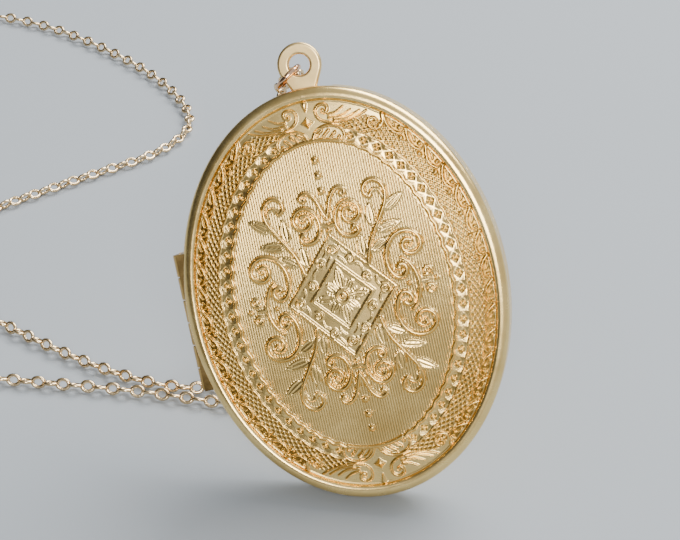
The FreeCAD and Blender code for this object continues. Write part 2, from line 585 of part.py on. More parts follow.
def make_clasp():
    """A lobster-style clasp: its looped body, its lever and the lever's pivot pin."""
    thick = "s.clasp_thick"
    half_slot = "(s.lever_thick / 2 + s.lever_play)"
    tongue = "(s.lever_pin_dia / 2 + s.lever_grip)"
    low_y = "s.clasp_width / 2 - s.clasp_wall - s.gate_play"
    loop = cut("clasp_loop", clasp_oval("clasp_outer", "0", thick),
               clasp_oval("clasp_inner", "s.clasp_wall", "2 * s.clasp_thick"))
    eye_x = "-s.clasp_length / 2 - s.clasp_eye_dia / 8"
    eye = doc.addObject("Part::Cylinder", "clasp_eye_boss")
    bind(eye, Radius="s.clasp_eye_dia / 2", Height="s.clasp_eye_thick", Placement__Base__x=eye_x,
         Placement__Base__z="-s.clasp_eye_thick / 2")
    eye_hole = doc.addObject("Part::Cylinder", "clasp_hole")
    bind(eye_hole, Radius="s.clasp_eye_hole / 2", Height="2 * s.clasp_thick",
         Placement__Base__x=eye_x + " - s.clasp_eye_dia / 10", Placement__Base__z="-s.clasp_thick")
    gate = box("clasp_gate", (GATE_START, low_y, "-s.clasp_thick"),
               (GATE_END, "s.clasp_width", "s.clasp_thick"))
    slot = box("clasp_slot", ("%s - %s - s.lever_play" % (PIVOT_X, tongue), low_y, "-" + half_slot),
               (GATE_START, "s.clasp_width", half_slot))
    bore = clasp_pin("clasp_pin_bore", "s.lever_pin_dia / 2", "2 * s.clasp_thick")
    blank = cut("clasp_blank", fuse("clasp_with_eye", loop, eye), eye_hole)
    body = cut("clasp_body", blank, fuse("clasp_cuts", gate, slot, bore))
    arm_loop = cut("lever_loop", clasp_oval("lever_outer", "0", thick),
                   clasp_oval("lever_inner", "s.clasp_wall", "2 * s.clasp_thick"))
    arm = common("lever_arm", arm_loop,
                 box("lever_arm_box", ("%s + s.lever_play" % GATE_START, low_y, "-s.clasp_thick"),
                     ("%s - s.lever_play" % GATE_END, "s.clasp_width", "s.clasp_thick")))
    reach = box("lever_tongue", (PIVOT_X, "%s - %s" % (PIVOT_Y, tongue), "-s.lever_thick / 2"),
                ("%s + 2 * s.lever_play" % GATE_START, "%s + s.tongue_rise" % PIVOT_Y,
                 "s.lever_thick / 2"))
    knob = clasp_pin("lever_end", tongue, "s.lever_thick")
    hole = clasp_pin("lever_hole", "s.lever_pin_dia / 2 + s.lever_bore_play", "2 * s.clasp_thick")
    nub = doc.addObject("Part::Cylinder", "lever_nub")
    bind(nub, Radius="s.clasp_wall / 2", Height=thick, Placement__Base__x="s.clasp_length / 12",
         Placement__Base__y="s.clasp_width / 2", Placement__Base__z="-s.clasp_thick / 2")
    lever = cut("clasp_lever", fuse("lever_blank", arm, reach, knob, nub), hole)
    pin = round_edges("clasp_pin", clasp_pin("clasp_pin_blank", "s.lever_pin_dia / 2", thick), pin_end)
    return body, lever, pin


def make_wire_ring(name, diameter, wire, centre, lengthways, up):
    """A plain wire ring about centre, in the plane of the directions lengthways and up."""
    ring = doc.addObject("Part::Torus", name)
    bind(ring, Radius1="(%s - %s) / 2" % (diameter, wire), Radius2="%s / 2" % wire)
    ring.Placement = App.Placement(centre, App.Rotation(lengthways, up, lengthways.cross(up), "ZXY"))
    return ring


def make_clasp_end(points):
    """The clasp and its ring at the end of one strand, lying flat on the table."""
    turn = math.radians(CLASP_TURN)
    ahead = V(math.cos(turn), math.sin(turn), 0)
    table_point = V(points[-1][0], points[-1][1], 0)
    pieces = list(make_clasp())
    centre = table_point + ahead * CLASP_CHAIN_GAP + V(0, 0, size("clasp_thick") / 2)
    for piece in pieces:
        piece.Placement = App.Placement(centre, App.Rotation(V(0, 0, 1), CLASP_TURN))
    ring_centre = table_point + ahead * (CLASP_CHAIN_GAP + CLASP_RING_X)
    ring_centre.z = size("clasp_ring_dia") / 2 + TABLE_GAP
    ring = make_wire_ring("clasp_ring", "s.clasp_ring_dia", "s.clasp_ring_wire", ring_centre, ahead, V(0, 0, 1))
    return pieces + [ring]


def make_end_ring(points):
    """The ring at the other strand's end: it lies on the table, held up on one side by the last link."""
    end = V(*points[-1])
    ahead = (end - V(*points[-2])).normalize()
    radius = (size("end_ring_dia") - size("end_ring_wire")) / 2
    low = size("end_ring_wire") / 2
    tilt = math.asin((end.z - low) / (2 * radius))
    lengthways = ahead * math.cos(tilt) - V(0, 0, 1) * math.sin(tilt)
    centre = end + lengthways * radius
    across = ahead.cross(V(0, 0, 1))
    return make_wire_ring("end_ring", "s.end_ring_dia", "s.end_ring_wire", centre, lengthways, across)


# ---------------------------------------------------------------- build
lean = math.radians(size("lean"))
roll = math.radians(size("roll"))
across_axis = V(math.cos(roll), math.sin(roll) * math.sin(lean), math.sin(roll) * math.cos(lean))
long_axis = V(-math.sin(roll), math.cos(roll) * math.sin(lean), math.cos(roll) * math.cos(lean))
face_axis = V(0, -math.cos(lean), math.sin(lean))
STAND = App.Rotation(across_axis, long_axis, face_axis, "ZXY")

back_pieces = [make_back_rim(), make_back_panel(), make_closing_lip()]
back_pieces += make_photo_set("back", -1)
front_pieces = [make_front_rim(), make_front_panel()]
front_pieces += make_photo_set("front", 1)
knuckles = [make_knuckle(index) for index in range(int(size("knuckle_count")))]
leaves = [make_leaf("back_hinge_leaf", -1, 0), make_leaf("front_hinge_leaf", 1, 1)]
bail = make_bail()
jump_ring = make_jump_ring()
end_links = [make_end_link("end_link_left", size("link_spread")),
             make_end_link("end_link_right", -size("link_spread"))]
locket = back_pieces + front_pieces + knuckles + leaves + [make_hinge_pin(), bail, jump_ring]
bail.Placement = App.Placement(V(0, 0, -size("bail_depth")), App.Rotation())
doc.recompute()

# The locket stands on the lowest point of its rim, with its box centred over the origin.
bounds = App.BoundBox()
for piece in locket:
    turned = piece.Shape.copy()
    turned.Placement = App.Placement(V(0, 0, 0), STAND).multiply(turned.Placement)
    bounds.add(turned.optimalBoundingBox(False))
seat = V(-bounds.Center.x, -bounds.Center.y, -bounds.ZMin)
stand = App.Placement(seat, STAND)
for piece in locket + end_links:
    piece.Placement = stand.multiply(piece.Placement)

strands = [make_strand("chain_clasp_strand", CLASP_STRAND), make_strand("chain_ring_strand", RING_STRAND)]
chain_ends = make_clasp_end(CLASP_STRAND) + [make_end_ring(RING_STRAND)]
doc.recompute()

# ---------------------------------------------------------------- checks and export
nodes = locket + end_links + strands + chain_ends
for piece in doc.Objects:
    if "Invalid" in piece.State or "Error" in piece.State:
        raise RuntimeError("%s is in state %s" % (piece.Label, piece.State))
for piece in nodes:
    if piece.Shape.isNull() or not piece.Shape.isValid() or not piece.Shape.Solids:
        raise RuntimeError("%s has no valid solid" % piece.Label)

os.makedirs("parts", exist_ok=True)
for piece in nodes:
    piece.Shape.exportStep(os.path.join("parts", piece.Label + ".step"))
print("locket seat %s, hinge axis through %s" % (seat, stand.multVec(V(-size("case_width") / 2
                                                                      + size("hinge_inset"), 0, 0))))
print("%d nodes written" % len(nodes))
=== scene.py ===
"""Oval hinged locket in gold-coloured metal, leaning on its own chain.

The cover carries a stamped relief: a reeded oval field with a lozenge, a flower, scrolls and leaf
sprigs, inside a border of beads, crosshatching and scallops. Relief sizes are in millimetres in the
locket's own frame: X along its short axis (hinge at -X), Y along its long axis, Z out of the cover.
"""

import json
import logging
import math
import random
from dataclasses import dataclass, field
from enum import Enum

import bmesh
import bpy
import numpy as np
from mathutils import Matrix, Vector


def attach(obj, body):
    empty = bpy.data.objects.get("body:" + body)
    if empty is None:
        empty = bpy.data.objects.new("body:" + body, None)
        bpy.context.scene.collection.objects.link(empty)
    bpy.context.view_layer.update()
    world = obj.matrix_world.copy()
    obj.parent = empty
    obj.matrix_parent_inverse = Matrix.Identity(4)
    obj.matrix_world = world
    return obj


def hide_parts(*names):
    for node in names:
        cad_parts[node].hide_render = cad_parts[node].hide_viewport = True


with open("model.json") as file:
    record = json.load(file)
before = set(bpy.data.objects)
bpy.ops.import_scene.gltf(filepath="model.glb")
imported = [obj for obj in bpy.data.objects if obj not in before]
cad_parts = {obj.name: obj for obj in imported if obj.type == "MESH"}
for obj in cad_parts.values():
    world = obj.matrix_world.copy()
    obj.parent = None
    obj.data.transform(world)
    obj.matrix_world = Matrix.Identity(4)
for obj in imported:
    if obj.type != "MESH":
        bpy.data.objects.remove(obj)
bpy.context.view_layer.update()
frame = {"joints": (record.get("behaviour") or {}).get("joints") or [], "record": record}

log = logging.getLogger("locket")
MM = 0.001
FAR = 9.0  # a distance in millimetres that is past every ridge's reach


# ---------------------------------------------------------------- where the locket stands
@dataclass(frozen=True)
class Stance:
    """How the locket's own frame lies in the row's frame.

    Attributes:
        back_depth: Distance in millimetres from the seam to the flat field on the back.
    """

    back_depth: float = 4.2

    def matrix(self) -> Matrix:
        """Work out the stance from the record's rest face and hinge.

        Returns:
            The matrix that takes the locket's own millimetres to the row's metres.
        """
        face = next(m for m in frame["record"]["mounts"] if m["name"] == "back_flat")
        hinge = next(j for j in frame["joints"] if j["name"] == "cover_hinge")
        out = -Vector(face["axis"]).normalized()
        up = -Vector(hinge["axis"]).normalized()
        across = up.cross(out).normalized()
        origin = Vector(face["pos_m"]) + out * self.back_depth * MM
        turn = Matrix((across, up, out)).transposed().to_4x4()
        return Matrix.Translation(origin) @ turn @ Matrix.Scale(MM, 4)


STANCE = Stance().matrix()


# ---------------------------------------------------------------- shader helpers
def add_node(tree: bpy.types.NodeTree, kind: str, **settings: object) -> bpy.types.Node:
    """Add a shader node and set its properties.

    Args:
        tree: The node tree to add to.
        kind: The node's type name.
        **settings: Properties of the node.

    Returns:
        The new node.
    """
    node = tree.nodes.new(kind)
    for name, value in settings.items():
        setattr(node, name, value)
    return node


def new_group(name: str, inputs: dict[str, object], outputs: dict[str, str]) -> bpy.types.NodeTree:
    """Make an empty shader node group with named sockets.

    Args:
        name: The group's name.
        inputs: Each input's default: a number, a colour of four numbers, or None for a vector.
        outputs: Each output's socket type.

    Returns:
        The group's tree, with its input and output nodes placed.
    """
    group = bpy.data.node_groups.new(name, "ShaderNodeTree")
    for label, default in inputs.items():
        kind = "NodeSocketFloat"
        if default is None:
            kind = "NodeSocketVector"
        elif isinstance(default, tuple):
            kind = "NodeSocketColor"
        socket = group.interface.new_socket(label, in_out="INPUT", socket_type=kind)
        if default is not None:
            socket.default_value = default
    for label, kind in outputs.items():
        group.interface.new_socket(label, in_out="OUTPUT", socket_type=kind)
    add_node(group, "NodeGroupInput")
    add_node(group, "NodeGroupOutput")
    return group


def build_handling_group() -> bpy.types.NodeTree:
    """Build the shared look of handled gold-coloured metal: cloudy tone, rubbed roughness, fine lines.

    Returns:
        A group with Colour, Roughness and Height outputs.
    """
    group = new_group(
        "handled_metal",
        {"Vector": None, "Deep": (0.4, 0.26, 0.1, 1.0), "Bright": (0.9, 0.7, 0.4, 1.0),
         "Smooth": 0.2, "Rough": 0.4, "Cloud Scale": 160.0, "Line Scale": 2600.0,
         "Line Stretch": 12.0},
        {"Colour": "NodeSocketColor", "Roughness": "NodeSocketFloat", "Height": "NodeSocketFloat"},
    )
    given = group.nodes["Group Input"]
    out = group.nodes["Group Output"]
    link = group.links.new
    cloud = add_node(group, "ShaderNodeTexNoise")
    cloud.inputs["Detail"].default_value = 5.0
    cloud.inputs["Roughness"].default_value = 0.62
    link(given.outputs["Vector"], cloud.inputs["Vector"])
    link(given.outputs["Cloud Scale"], cloud.inputs["Scale"])
    spread = add_node(group, "ShaderNodeMapRange", clamp=True)
    spread.inputs["From Min"].default_value = 0.32
    spread.inputs["From Max"].default_value = 0.68
    link(cloud.outputs["Fac"], spread.inputs["Value"])
    tone = add_node(group, "ShaderNodeMix", data_type="RGBA")
    link(spread.outputs["Result"], tone.inputs["Factor"])
    link(given.outputs["Deep"], tone.inputs["A"])
    link(given.outputs["Bright"], tone.inputs["B"])
    link(tone.outputs["Result"], out.inputs["Colour"])
    stretch = add_node(group, "ShaderNodeCombineXYZ")
    stretch.inputs["Y"].default_value = 1.0
    stretch.inputs["Z"].default_value = 1.0
    link(given.outputs["Line Stretch"], stretch.inputs["X"])
    along = add_node(group, "ShaderNodeVectorMath", operation="DIVIDE")
    link(given.outputs["Vector"], along.inputs[0])
    link(stretch.outputs["Vector"], along.inputs[1])
    lines = add_node(group, "ShaderNodeTexNoise")
    lines.inputs["Detail"].default_value = 2.0
    link(along.outputs["Vector"], lines.inputs["Vector"])
    link(given.outputs["Line Scale"], lines.inputs["Scale"])
    link(lines.outputs["Fac"], out.inputs["Height"])
    both = add_node(group, "ShaderNodeMix", data_type="FLOAT")
    both.inputs["Factor"].default_value = 0.45
    link(spread.outputs["Result"], both.inputs["A"])
    link(lines.outputs["Fac"], both.inputs["B"])
    rub = add_node(group, "ShaderNodeMapRange", clamp=True)
    link(both.outputs["Result"], rub.inputs["Value"])
    link(given.outputs["Smooth"], rub.inputs["To Min"])
    link(given.outputs["Rough"], rub.inputs["To Max"])
    link(rub.outputs["Result"], out.inputs["Roughness"])
    return group


def principled(material: bpy.types.Material) -> bpy.types.Node:
    """Give the material's Principled shader node."""
    return next(n for n in material.node_tree.nodes if n.type == "BSDF_PRINCIPLED")


@dataclass(frozen=True)
class MetalFinish:
    """A gold-coloured metal finish.

    Attributes:
        name: The material's name.
        deep: Colour where the metal is dull.
        bright: Colour where it is clean.
        smooth: Roughness where it is rubbed.
        rough: Roughness where it is satin.
        lines: How deep the fine polishing lines look.
        cloud: How many tone clouds there are along a metre.
        stretch: How long the polishing lines are for their width.
        relief: True for a stamped face that carries a relief attribute, from which shade is painted into its
            recesses.
    """

    name: str
    deep: tuple[float, float, float]
    bright: tuple[float, float, float]
    smooth: float
    rough: float
    lines: float = 0.1
    cloud: float = 160.0
    stretch: float = 12.0
    relief: bool = False

    def build(self, group: bpy.types.NodeTree) -> bpy.types.Material:
        """Build the material.

        Args:
            group: The shared handled-metal node group.

        Returns:
            The finished material.
        """
        material = bpy.data.materials.new(self.name)
        material.use_nodes = True
        tree = material.node_tree
        link = tree.links.new
        shader = principled(material)
        shader.inputs["Metallic"].default_value = 1.0
        place = add_node(tree, "ShaderNodeTexCoord")
        metal = add_node(tree, "ShaderNodeGroup", node_tree=group)
        metal.inputs["Deep"].default_value = (*self.deep, 1.0)
        metal.inputs["Bright"].default_value = (*self.bright, 1.0)
        metal.inputs["Smooth"].default_value = self.smooth
        metal.inputs["Rough"].default_value = self.rough
        metal.inputs["Cloud Scale"].default_value = self.cloud
        metal.inputs["Line Stretch"].default_value = self.stretch
        link(place.outputs["Object"], metal.inputs["Vector"])
        bump = add_node(tree, "ShaderNodeBump")
        bump.inputs["Strength"].default_value = self.lines
        bump.inputs["Distance"].default_value = 0.00002
        link(metal.outputs["Height"], bump.inputs["Height"])
        link(bump.outputs["Normal"], shader.inputs["Normal"])
        if self.relief:
            self.shade_and_polish_relief(tree, metal, shader)
        else:
            link(metal.outputs["Colour"], shader.inputs["Base Color"])
            link(metal.outputs["Roughness"], shader.inputs["Roughness"])
        return material

    def shade_and_polish_relief(self, tree: bpy.types.NodeTree, metal: bpy.types.Node,
                    shader: bpy.types.Node) -> None:
        """Paint shade into the sunk ground of a stamped face and polish its raised lines.

        Args:
            tree: The material's node tree.
            metal: The placed handled-metal group.
            shader: The Principled shader.
        """
        link = tree.links.new
        height = add_node(tree, "ShaderNodeAttribute", attribute_name="relief")
        # Painted shade: the ramp's dark low end darkens the sunk ground and the reed valleys; its upper
        # stops tint the raised lines warmer.
        sunk = add_node(tree, "ShaderNodeValToRGB")
        stops = sunk.color_ramp.elements
        stops[0].position = 0.0
        stops[0].color = (0.36, 0.27, 0.13, 1.0)
        stops[1].position = 1.0
        stops[1].color = (1.0, 0.86, 0.62, 1.0)
        middle = stops.new(0.17)
        middle.color = (1.0, 0.97, 0.90, 1.0)
        link(height.outputs["Fac"], sunk.inputs["Fac"])
        shaded_colour = add_node(tree, "ShaderNodeMix", data_type="RGBA", blend_type="MULTIPLY")
        shaded_colour.inputs["Factor"].default_value = 1.0
        link(metal.outputs["Colour"], shaded_colour.inputs["A"])
        link(sunk.outputs["Color"], shaded_colour.inputs["B"])
        link(shaded_colour.outputs["Result"], shader.inputs["Base Color"])
        polish = add_node(tree, "ShaderNodeMapRange", clamp=True)
        polish.inputs["To Min"].default_value = 1.25
        polish.inputs["To Max"].default_value = 0.8
        link(height.outputs["Fac"], polish.inputs["Value"])
        worn = add_node(tree, "ShaderNodeMath", operation="MULTIPLY")
        link(metal.outputs["Roughness"], worn.inputs[0])
        link(polish.outputs["Result"], worn.inputs[1])
        link(worn.outputs["Value"], shader.inputs["Roughness"])


@dataclass(frozen=True)
class WindowFinish:
    """The thin clear plastic of the photo windows."""

    name: str = "clear_window"

    def build(self) -> bpy.types.Material:
        """Build the clear material, with a faint haze of handling.

        Returns:
            The finished material.
        """
        material = bpy.data.materials.new(self.name)
        material.use_nodes = True
        tree = material.node_tree
        shader = principled(material)
        shader.inputs["Base Color"].default_value = (0.96, 0.98, 0.98, 1.0)
        shader.inputs["Transmission Weight"].default_value = 1.0
        shader.inputs["IOR"].default_value = 1.49
        place = add_node(tree, "ShaderNodeTexCoord")
        haze = add_node(tree, "ShaderNodeTexNoise")
        haze.inputs["Scale"].default_value = 220.0
        haze.inputs["Detail"].default_value = 6.0
        tree.links.new(place.outputs["Object"], haze.inputs["Vector"])
        reach = add_node(tree, "ShaderNodeMapRange", clamp=True)
        reach.inputs["To Min"].default_value = 0.01
        reach.inputs["To Max"].default_value = 0.09
        tree.links.new(haze.outputs["Fac"], reach.inputs["Value"])
        tree.links.new(reach.outputs["Result"], shader.inputs["Roughness"])
        return material


@dataclass(frozen=True)
class PaperFinish:
    """The plain cream card behind each window.

    Attributes:
        name: The material's name.
        pale: The paper's lighter colour.
        warm: The colour of its fibres and ageing.
    """

    name: str = "cream_card"
    pale: tuple[float, float, float] = (0.83, 0.78, 0.66)
    warm: tuple[float, float, float] = (0.70, 0.62, 0.47)

    def build(self) -> bpy.types.Material:
        """Build the paper, with short fibres and a slow yellowing.

        Returns:
            The finished material.
        """
        material = bpy.data.materials.new(self.name)
        material.use_nodes = True
        tree = material.node_tree
        link = tree.links.new
        shader = principled(material)
        shader.inputs["Specular IOR Level"].default_value = 0.3
        place = add_node(tree, "ShaderNodeTexCoord")
        fibre = add_node(tree, "ShaderNodeTexNoise")
        fibre.inputs["Scale"].default_value = 2200.0
        fibre.inputs["Detail"].default_value = 4.0
        age = add_node(tree, "ShaderNodeTexNoise")
        age.inputs["Scale"].default_value = 90.0
        link(place.outputs["Object"], fibre.inputs["Vector"])
        link(place.outputs["Object"], age.inputs["Vector"])
        both = add_node(tree, "ShaderNodeMath", operation="MULTIPLY")
        link(fibre.outputs["Fac"], both.inputs[0])
        link(age.outputs["Fac"], both.inputs[1])
        ramp = add_node(tree, "ShaderNodeValToRGB")
        ramp.color_ramp.elements[0].position = 0.12
        ramp.color_ramp.elements[0].color = (*self.pale, 1.0)
        ramp.color_ramp.elements[1].position = 0.42
        ramp.color_ramp.elements[1].color = (*self.warm, 1.0)
        link(both.outputs["Value"], ramp.inputs["Fac"])
        link(ramp.outputs["Color"], shader.inputs["Base Color"])
        dull = add_node(tree, "ShaderNodeMapRange", clamp=True)
        dull.inputs["To Min"].default_value = 0.62
        dull.inputs["To Max"].default_value = 0.85
        link(fibre.outputs["Fac"], dull.inputs["Value"])
        link(dull.outputs["Result"], shader.inputs["Roughness"])
        grain = add_node(tree, "ShaderNodeBump")
        grain.inputs["Strength"].default_value = 0.25
        grain.inputs["Distance"].default_value = 0.00003
        link(fibre.outputs["Fac"], grain.inputs["Height"])
        link(grain.outputs["Normal"], shader.inputs["Normal"])
        return material


class Finish(Enum):
    """The locket's finishes, by what they are used on."""

    RIM = MetalFinish("rim_satin", (0.78, 0.54, 0.19), (0.95, 0.71, 0.30), 0.20, 0.32, 0.14)
    # The stamped face's finish paints shade into its recesses from the relief attribute.
    RELIEF = MetalFinish("relief_stamped", (0.82, 0.58, 0.21), (0.96, 0.73, 0.31), 0.18, 0.27, 0.08,
                         relief=True)
    BACK = MetalFinish("back_brushed", (0.74, 0.52, 0.20), (0.90, 0.66, 0.29), 0.28, 0.42, 0.3,
                       stretch=40.0)
    BAIL = MetalFinish("bail_satin", (0.78, 0.55, 0.23), (0.93, 0.70, 0.34), 0.30, 0.42, 0.16)
    # The hinge's colours are darker than the rest of the metal: painted shade for the hinge on the dark left
    # side.
    HINGE = MetalFinish("hinge_shaded", (0.40, 0.25, 0.08), (0.80, 0.55, 0.22), 0.16, 0.30, 0.2)
    FRAME = MetalFinish("frame_polished", (0.78, 0.58, 0.30), (0.92, 0.72, 0.42), 0.12, 0.24, 0.08)
    RING = MetalFinish("ring_polished", (0.78, 0.48, 0.29), (0.94, 0.66, 0.44), 0.10, 0.20, 0.05)
    CHAIN = MetalFinish("chain_polished", (0.70, 0.49, 0.25), (0.92, 0.71, 0.42), 0.12, 0.26, 0.05,
                        cloud=500.0)
    CLASP = MetalFinish("clasp_polished", (0.76, 0.56, 0.28), (0.91, 0.70, 0.41), 0.12, 0.24, 0.07)
    WINDOW = WindowFinish()
    CARD = PaperFinish()


class Wardrobe:
    """Builds each finish once and puts it on pieces and CAD nodes."""

    def __init__(self) -> None:
        """Build the shared group."""
        self.group = build_handling_group()
        self.made: dict[Finish, bpy.types.Material] = {}

    def material(self, finish: Finish) -> bpy.types.Material:
        """Give a finish's material, made on first use.

        Args:
            finish: Which finish.

        Returns:
            Its material.
        """
        if finish not in self.made:
            metal = isinstance(finish.value, MetalFinish)
            self.made[finish] = finish.value.build(self.group) if metal else finish.value.build()
        return self.made[finish]

    def dress(self, piece: bpy.types.Object, finish: Finish) -> None:
        """Put a finish on a piece, in place of whatever it wears."""
        piece.data.materials.clear()
        piece.data.materials.append(self.material(finish))


# ---------------------------------------------------------------- mesh helpers
def finish_mesh(mesh: bmesh.types.BMesh, name: str, place: Matrix = STANCE) -> bpy.types.Object:
    """Turn a bmesh into a piece whose object sits at the origin.

    Args:
        mesh: The shape, which is freed.
        name: The piece's name.
        place: The matrix that takes the shape to the row's frame.

    Returns:
        The new object, linked to the scene.
    """
    bmesh.ops.transform(mesh, matrix=place, verts=mesh.verts)
    data = bpy.data.meshes.new(name)
    mesh.to_mesh(data)
    mesh.free()
    piece = bpy.data.objects.new(name, data)
    bpy.context.scene.collection.objects.link(piece)
    return piece


def smooth_path(points: list[tuple[float, float]], per_span: int = 8) -> np.ndarray:
    """Run a smooth curve through points.

    Args:
        points: The points that it passes.
        per_span: How many steps each span is divided into.

    Returns:
        The curve's points, one row each.
    """
    knots = np.array([points[0], *points, points[-1]], dtype=float)
    steps = np.linspace(0.0, 1.0, per_span, endpoint=False)[:, None]
    rows = []
    for a, b, c, d in zip(knots, knots[1:], knots[2:], knots[3:]):
        rows.append(0.5 * (2 * b + (c - a) * steps + (2 * a - 5 * b + 4 * c - d) * steps ** 2
                           + (3 * b - a - 3 * c + d) * steps ** 3))
    return np.vstack([*rows, knots[-1:]])


def spiral(centre: tuple[float, float], outer: float, inner: float, start: float,
           turn: float) -> list[tuple[float, float]]:
    """Lay points along a spiral that winds in to a centre.

    Args:
        centre: The spiral's centre.
        outer: Its radius where it starts.
        inner: Its radius where it ends.
        start: The direction of its start from the centre, in degrees.
        turn: How far it winds, in degrees, positive to the left.

    Returns:
        The points.
    """
    count = max(4, int(abs(turn) / 40))
    points = []
    for step in range(count + 1):
        share = step / count
        angle = math.radians(start + turn * share)
        radius = outer + (inner - outer) * share
        points.append((centre[0] + radius * math.cos(angle), centre[1] + radius * math.sin(angle)))
    return points


class Relief:
    """Heights of a stamped pattern over a set of points in a plane.

    Attributes:
        crown_round: How far a ridge's crown is a round; the rest of it is a flatter curve.
        leaf_taper: The power that fills out a leaf's outline.
        leaf_edge: Share of a leaf's half width that its falling edge takes, and its vein too.
        leaf_fall: The power that rounds the falling edge.
        leaf_floor: A leaf's height between rim and vein, as a share of the rim's.
        leaf_rim: Where the rim runs and how wide it is, as shares of the half width.
        leaf_vein: How high the vein stands for the rim.
    """

    crown_round: float = 0.55
    leaf_taper: float = 0.8
    leaf_edge: float = 0.16
    leaf_fall: float = 0.6
    leaf_floor: float = 0.5
    leaf_rim: tuple[float, float] = (0.80, 0.12)
    leaf_vein: float = 0.7

    def __init__(self, x: np.ndarray, y: np.ndarray, ground: np.ndarray | float = 0.0) -> None:
        """Start from the ground.

        Args:
            x: The points' first coordinates.
            y: Their second coordinates.
            ground: The height of the ground.
        """
        self.x = x
        self.y = y
        self.height = np.zeros_like(x) + ground

    def raise_to(self, chosen: np.ndarray, height: np.ndarray) -> None:
        """Lift the chosen points to a height where that is higher."""
        self.height[chosen] = np.maximum(self.height[chosen], height)

    def ridge(self, path: np.ndarray, width: float, height: float,
              end_width: float | None = None) -> None:
        """Add a rounded ridge along a path.

        Args:
            path: The path's points.
            width: The ridge's half width at its start.
            height: Its height.
            end_width: Its half width at its end, if it tapers.
        """
        last = width if end_width is None else end_width
        widths = np.linspace(width, last, len(path))
        reach = max(width, last)
        low = path.min(axis=0) - reach
        high = path.max(axis=0) + reach
        near = np.flatnonzero((self.x > low[0]) & (self.x < high[0])
                              & (self.y > low[1]) & (self.y < high[1]))
        if not len(near):
            return
        best = np.full(len(near), FAR)
        px, py = self.x[near], self.y[near]
        for start, end, start_width, stop_width in zip(path, path[1:], widths, widths[1:]):
            run = end - start
            length = max(float(run @ run), 1e-9)
            share = np.clip(((px - start[0]) * run[0] + (py - start[1]) * run[1]) / length, 0.0, 1.0)
            gap = np.hypot(px - start[0] - share * run[0], py - start[1] - share * run[1])
            best = np.minimum(best, gap / (start_width + (stop_width - start_width) * share))
        inside = best < 1.0
        fall = 1.0 - best[inside] ** 2
        crown = np.sqrt(fall) * self.crown_round + fall * (1.0 - self.crown_round)
        self.raise_to(near[inside], height * crown)

    def dot(self, centre: tuple[float, float], radius: float, height: float) -> None:
        """Add a round bead."""
        gap = np.hypot(self.x - centre[0], self.y - centre[1]) / radius
        inside = np.flatnonzero(gap < 1.0)
        self.raise_to(inside, height * np.sqrt(1.0 - gap[inside] ** 2))

    def leaf(self, base: tuple[float, float], tip: tuple[float, float], width: float,
             height: float) -> None:
        """Add a pointed leaf with a raised rim and a vein along its middle.

        Args:
            base: Where the leaf starts.
            tip: Where it ends.
            width: Its half width at the widest.
            height: The height of its rim.
        """
        start = np.array(base)
        run = np.array(tip) - start
        length = float(np.hypot(*run))
        run = run / length
        along = ((self.x - start[0]) * run[0] + (self.y - start[1]) * run[1]) / length
        side = np.abs((self.y - start[1]) * run[0] - (self.x - start[0]) * run[1])
        inside = np.flatnonzero((along > 0.0) & (along < 1.0) & (side < width))
        outline = np.sin(np.pi * along[inside] ** self.leaf_taper) ** self.leaf_taper
        half = width * outline + 1e-6
        share = side[inside] / half
        kept = share < 1.0
        share = share[kept]
        fall = np.clip((1.0 - share) / self.leaf_edge, 0.0, 1.0) ** self.leaf_fall
        rim = np.exp(-((share - self.leaf_rim[0]) / self.leaf_rim[1]) ** 2)
        vein = np.clip(1.0 - share / self.leaf_edge, 0.0, 1.0)
        crest = np.maximum(rim, self.leaf_vein * vein)
        level = self.leaf_floor + (1.0 - self.leaf_floor) * crest
        self.raise_to(inside[kept], height * fall * level)

    def mirrored(self) -> "Relief":
        """Give the same heights, drawn on through coordinates folded into the first quadrant."""
        folded = Relief(np.abs(self.x), np.abs(self.y))
        folded.height = self.height
        return folded

    def band(self, gap: np.ndarray, width: float, height: float) -> None:
        """Add a rounded ridge given each point's distance from its middle line.

        Args:
            gap: The distances.
            width: The ridge's half width.
            height: Its height.
        """
        share = np.abs(gap) / width
        inside = np.flatnonzero(share < 1.0)
        self.raise_to(inside, height * np.sqrt(1.0 - share[inside] ** 2))


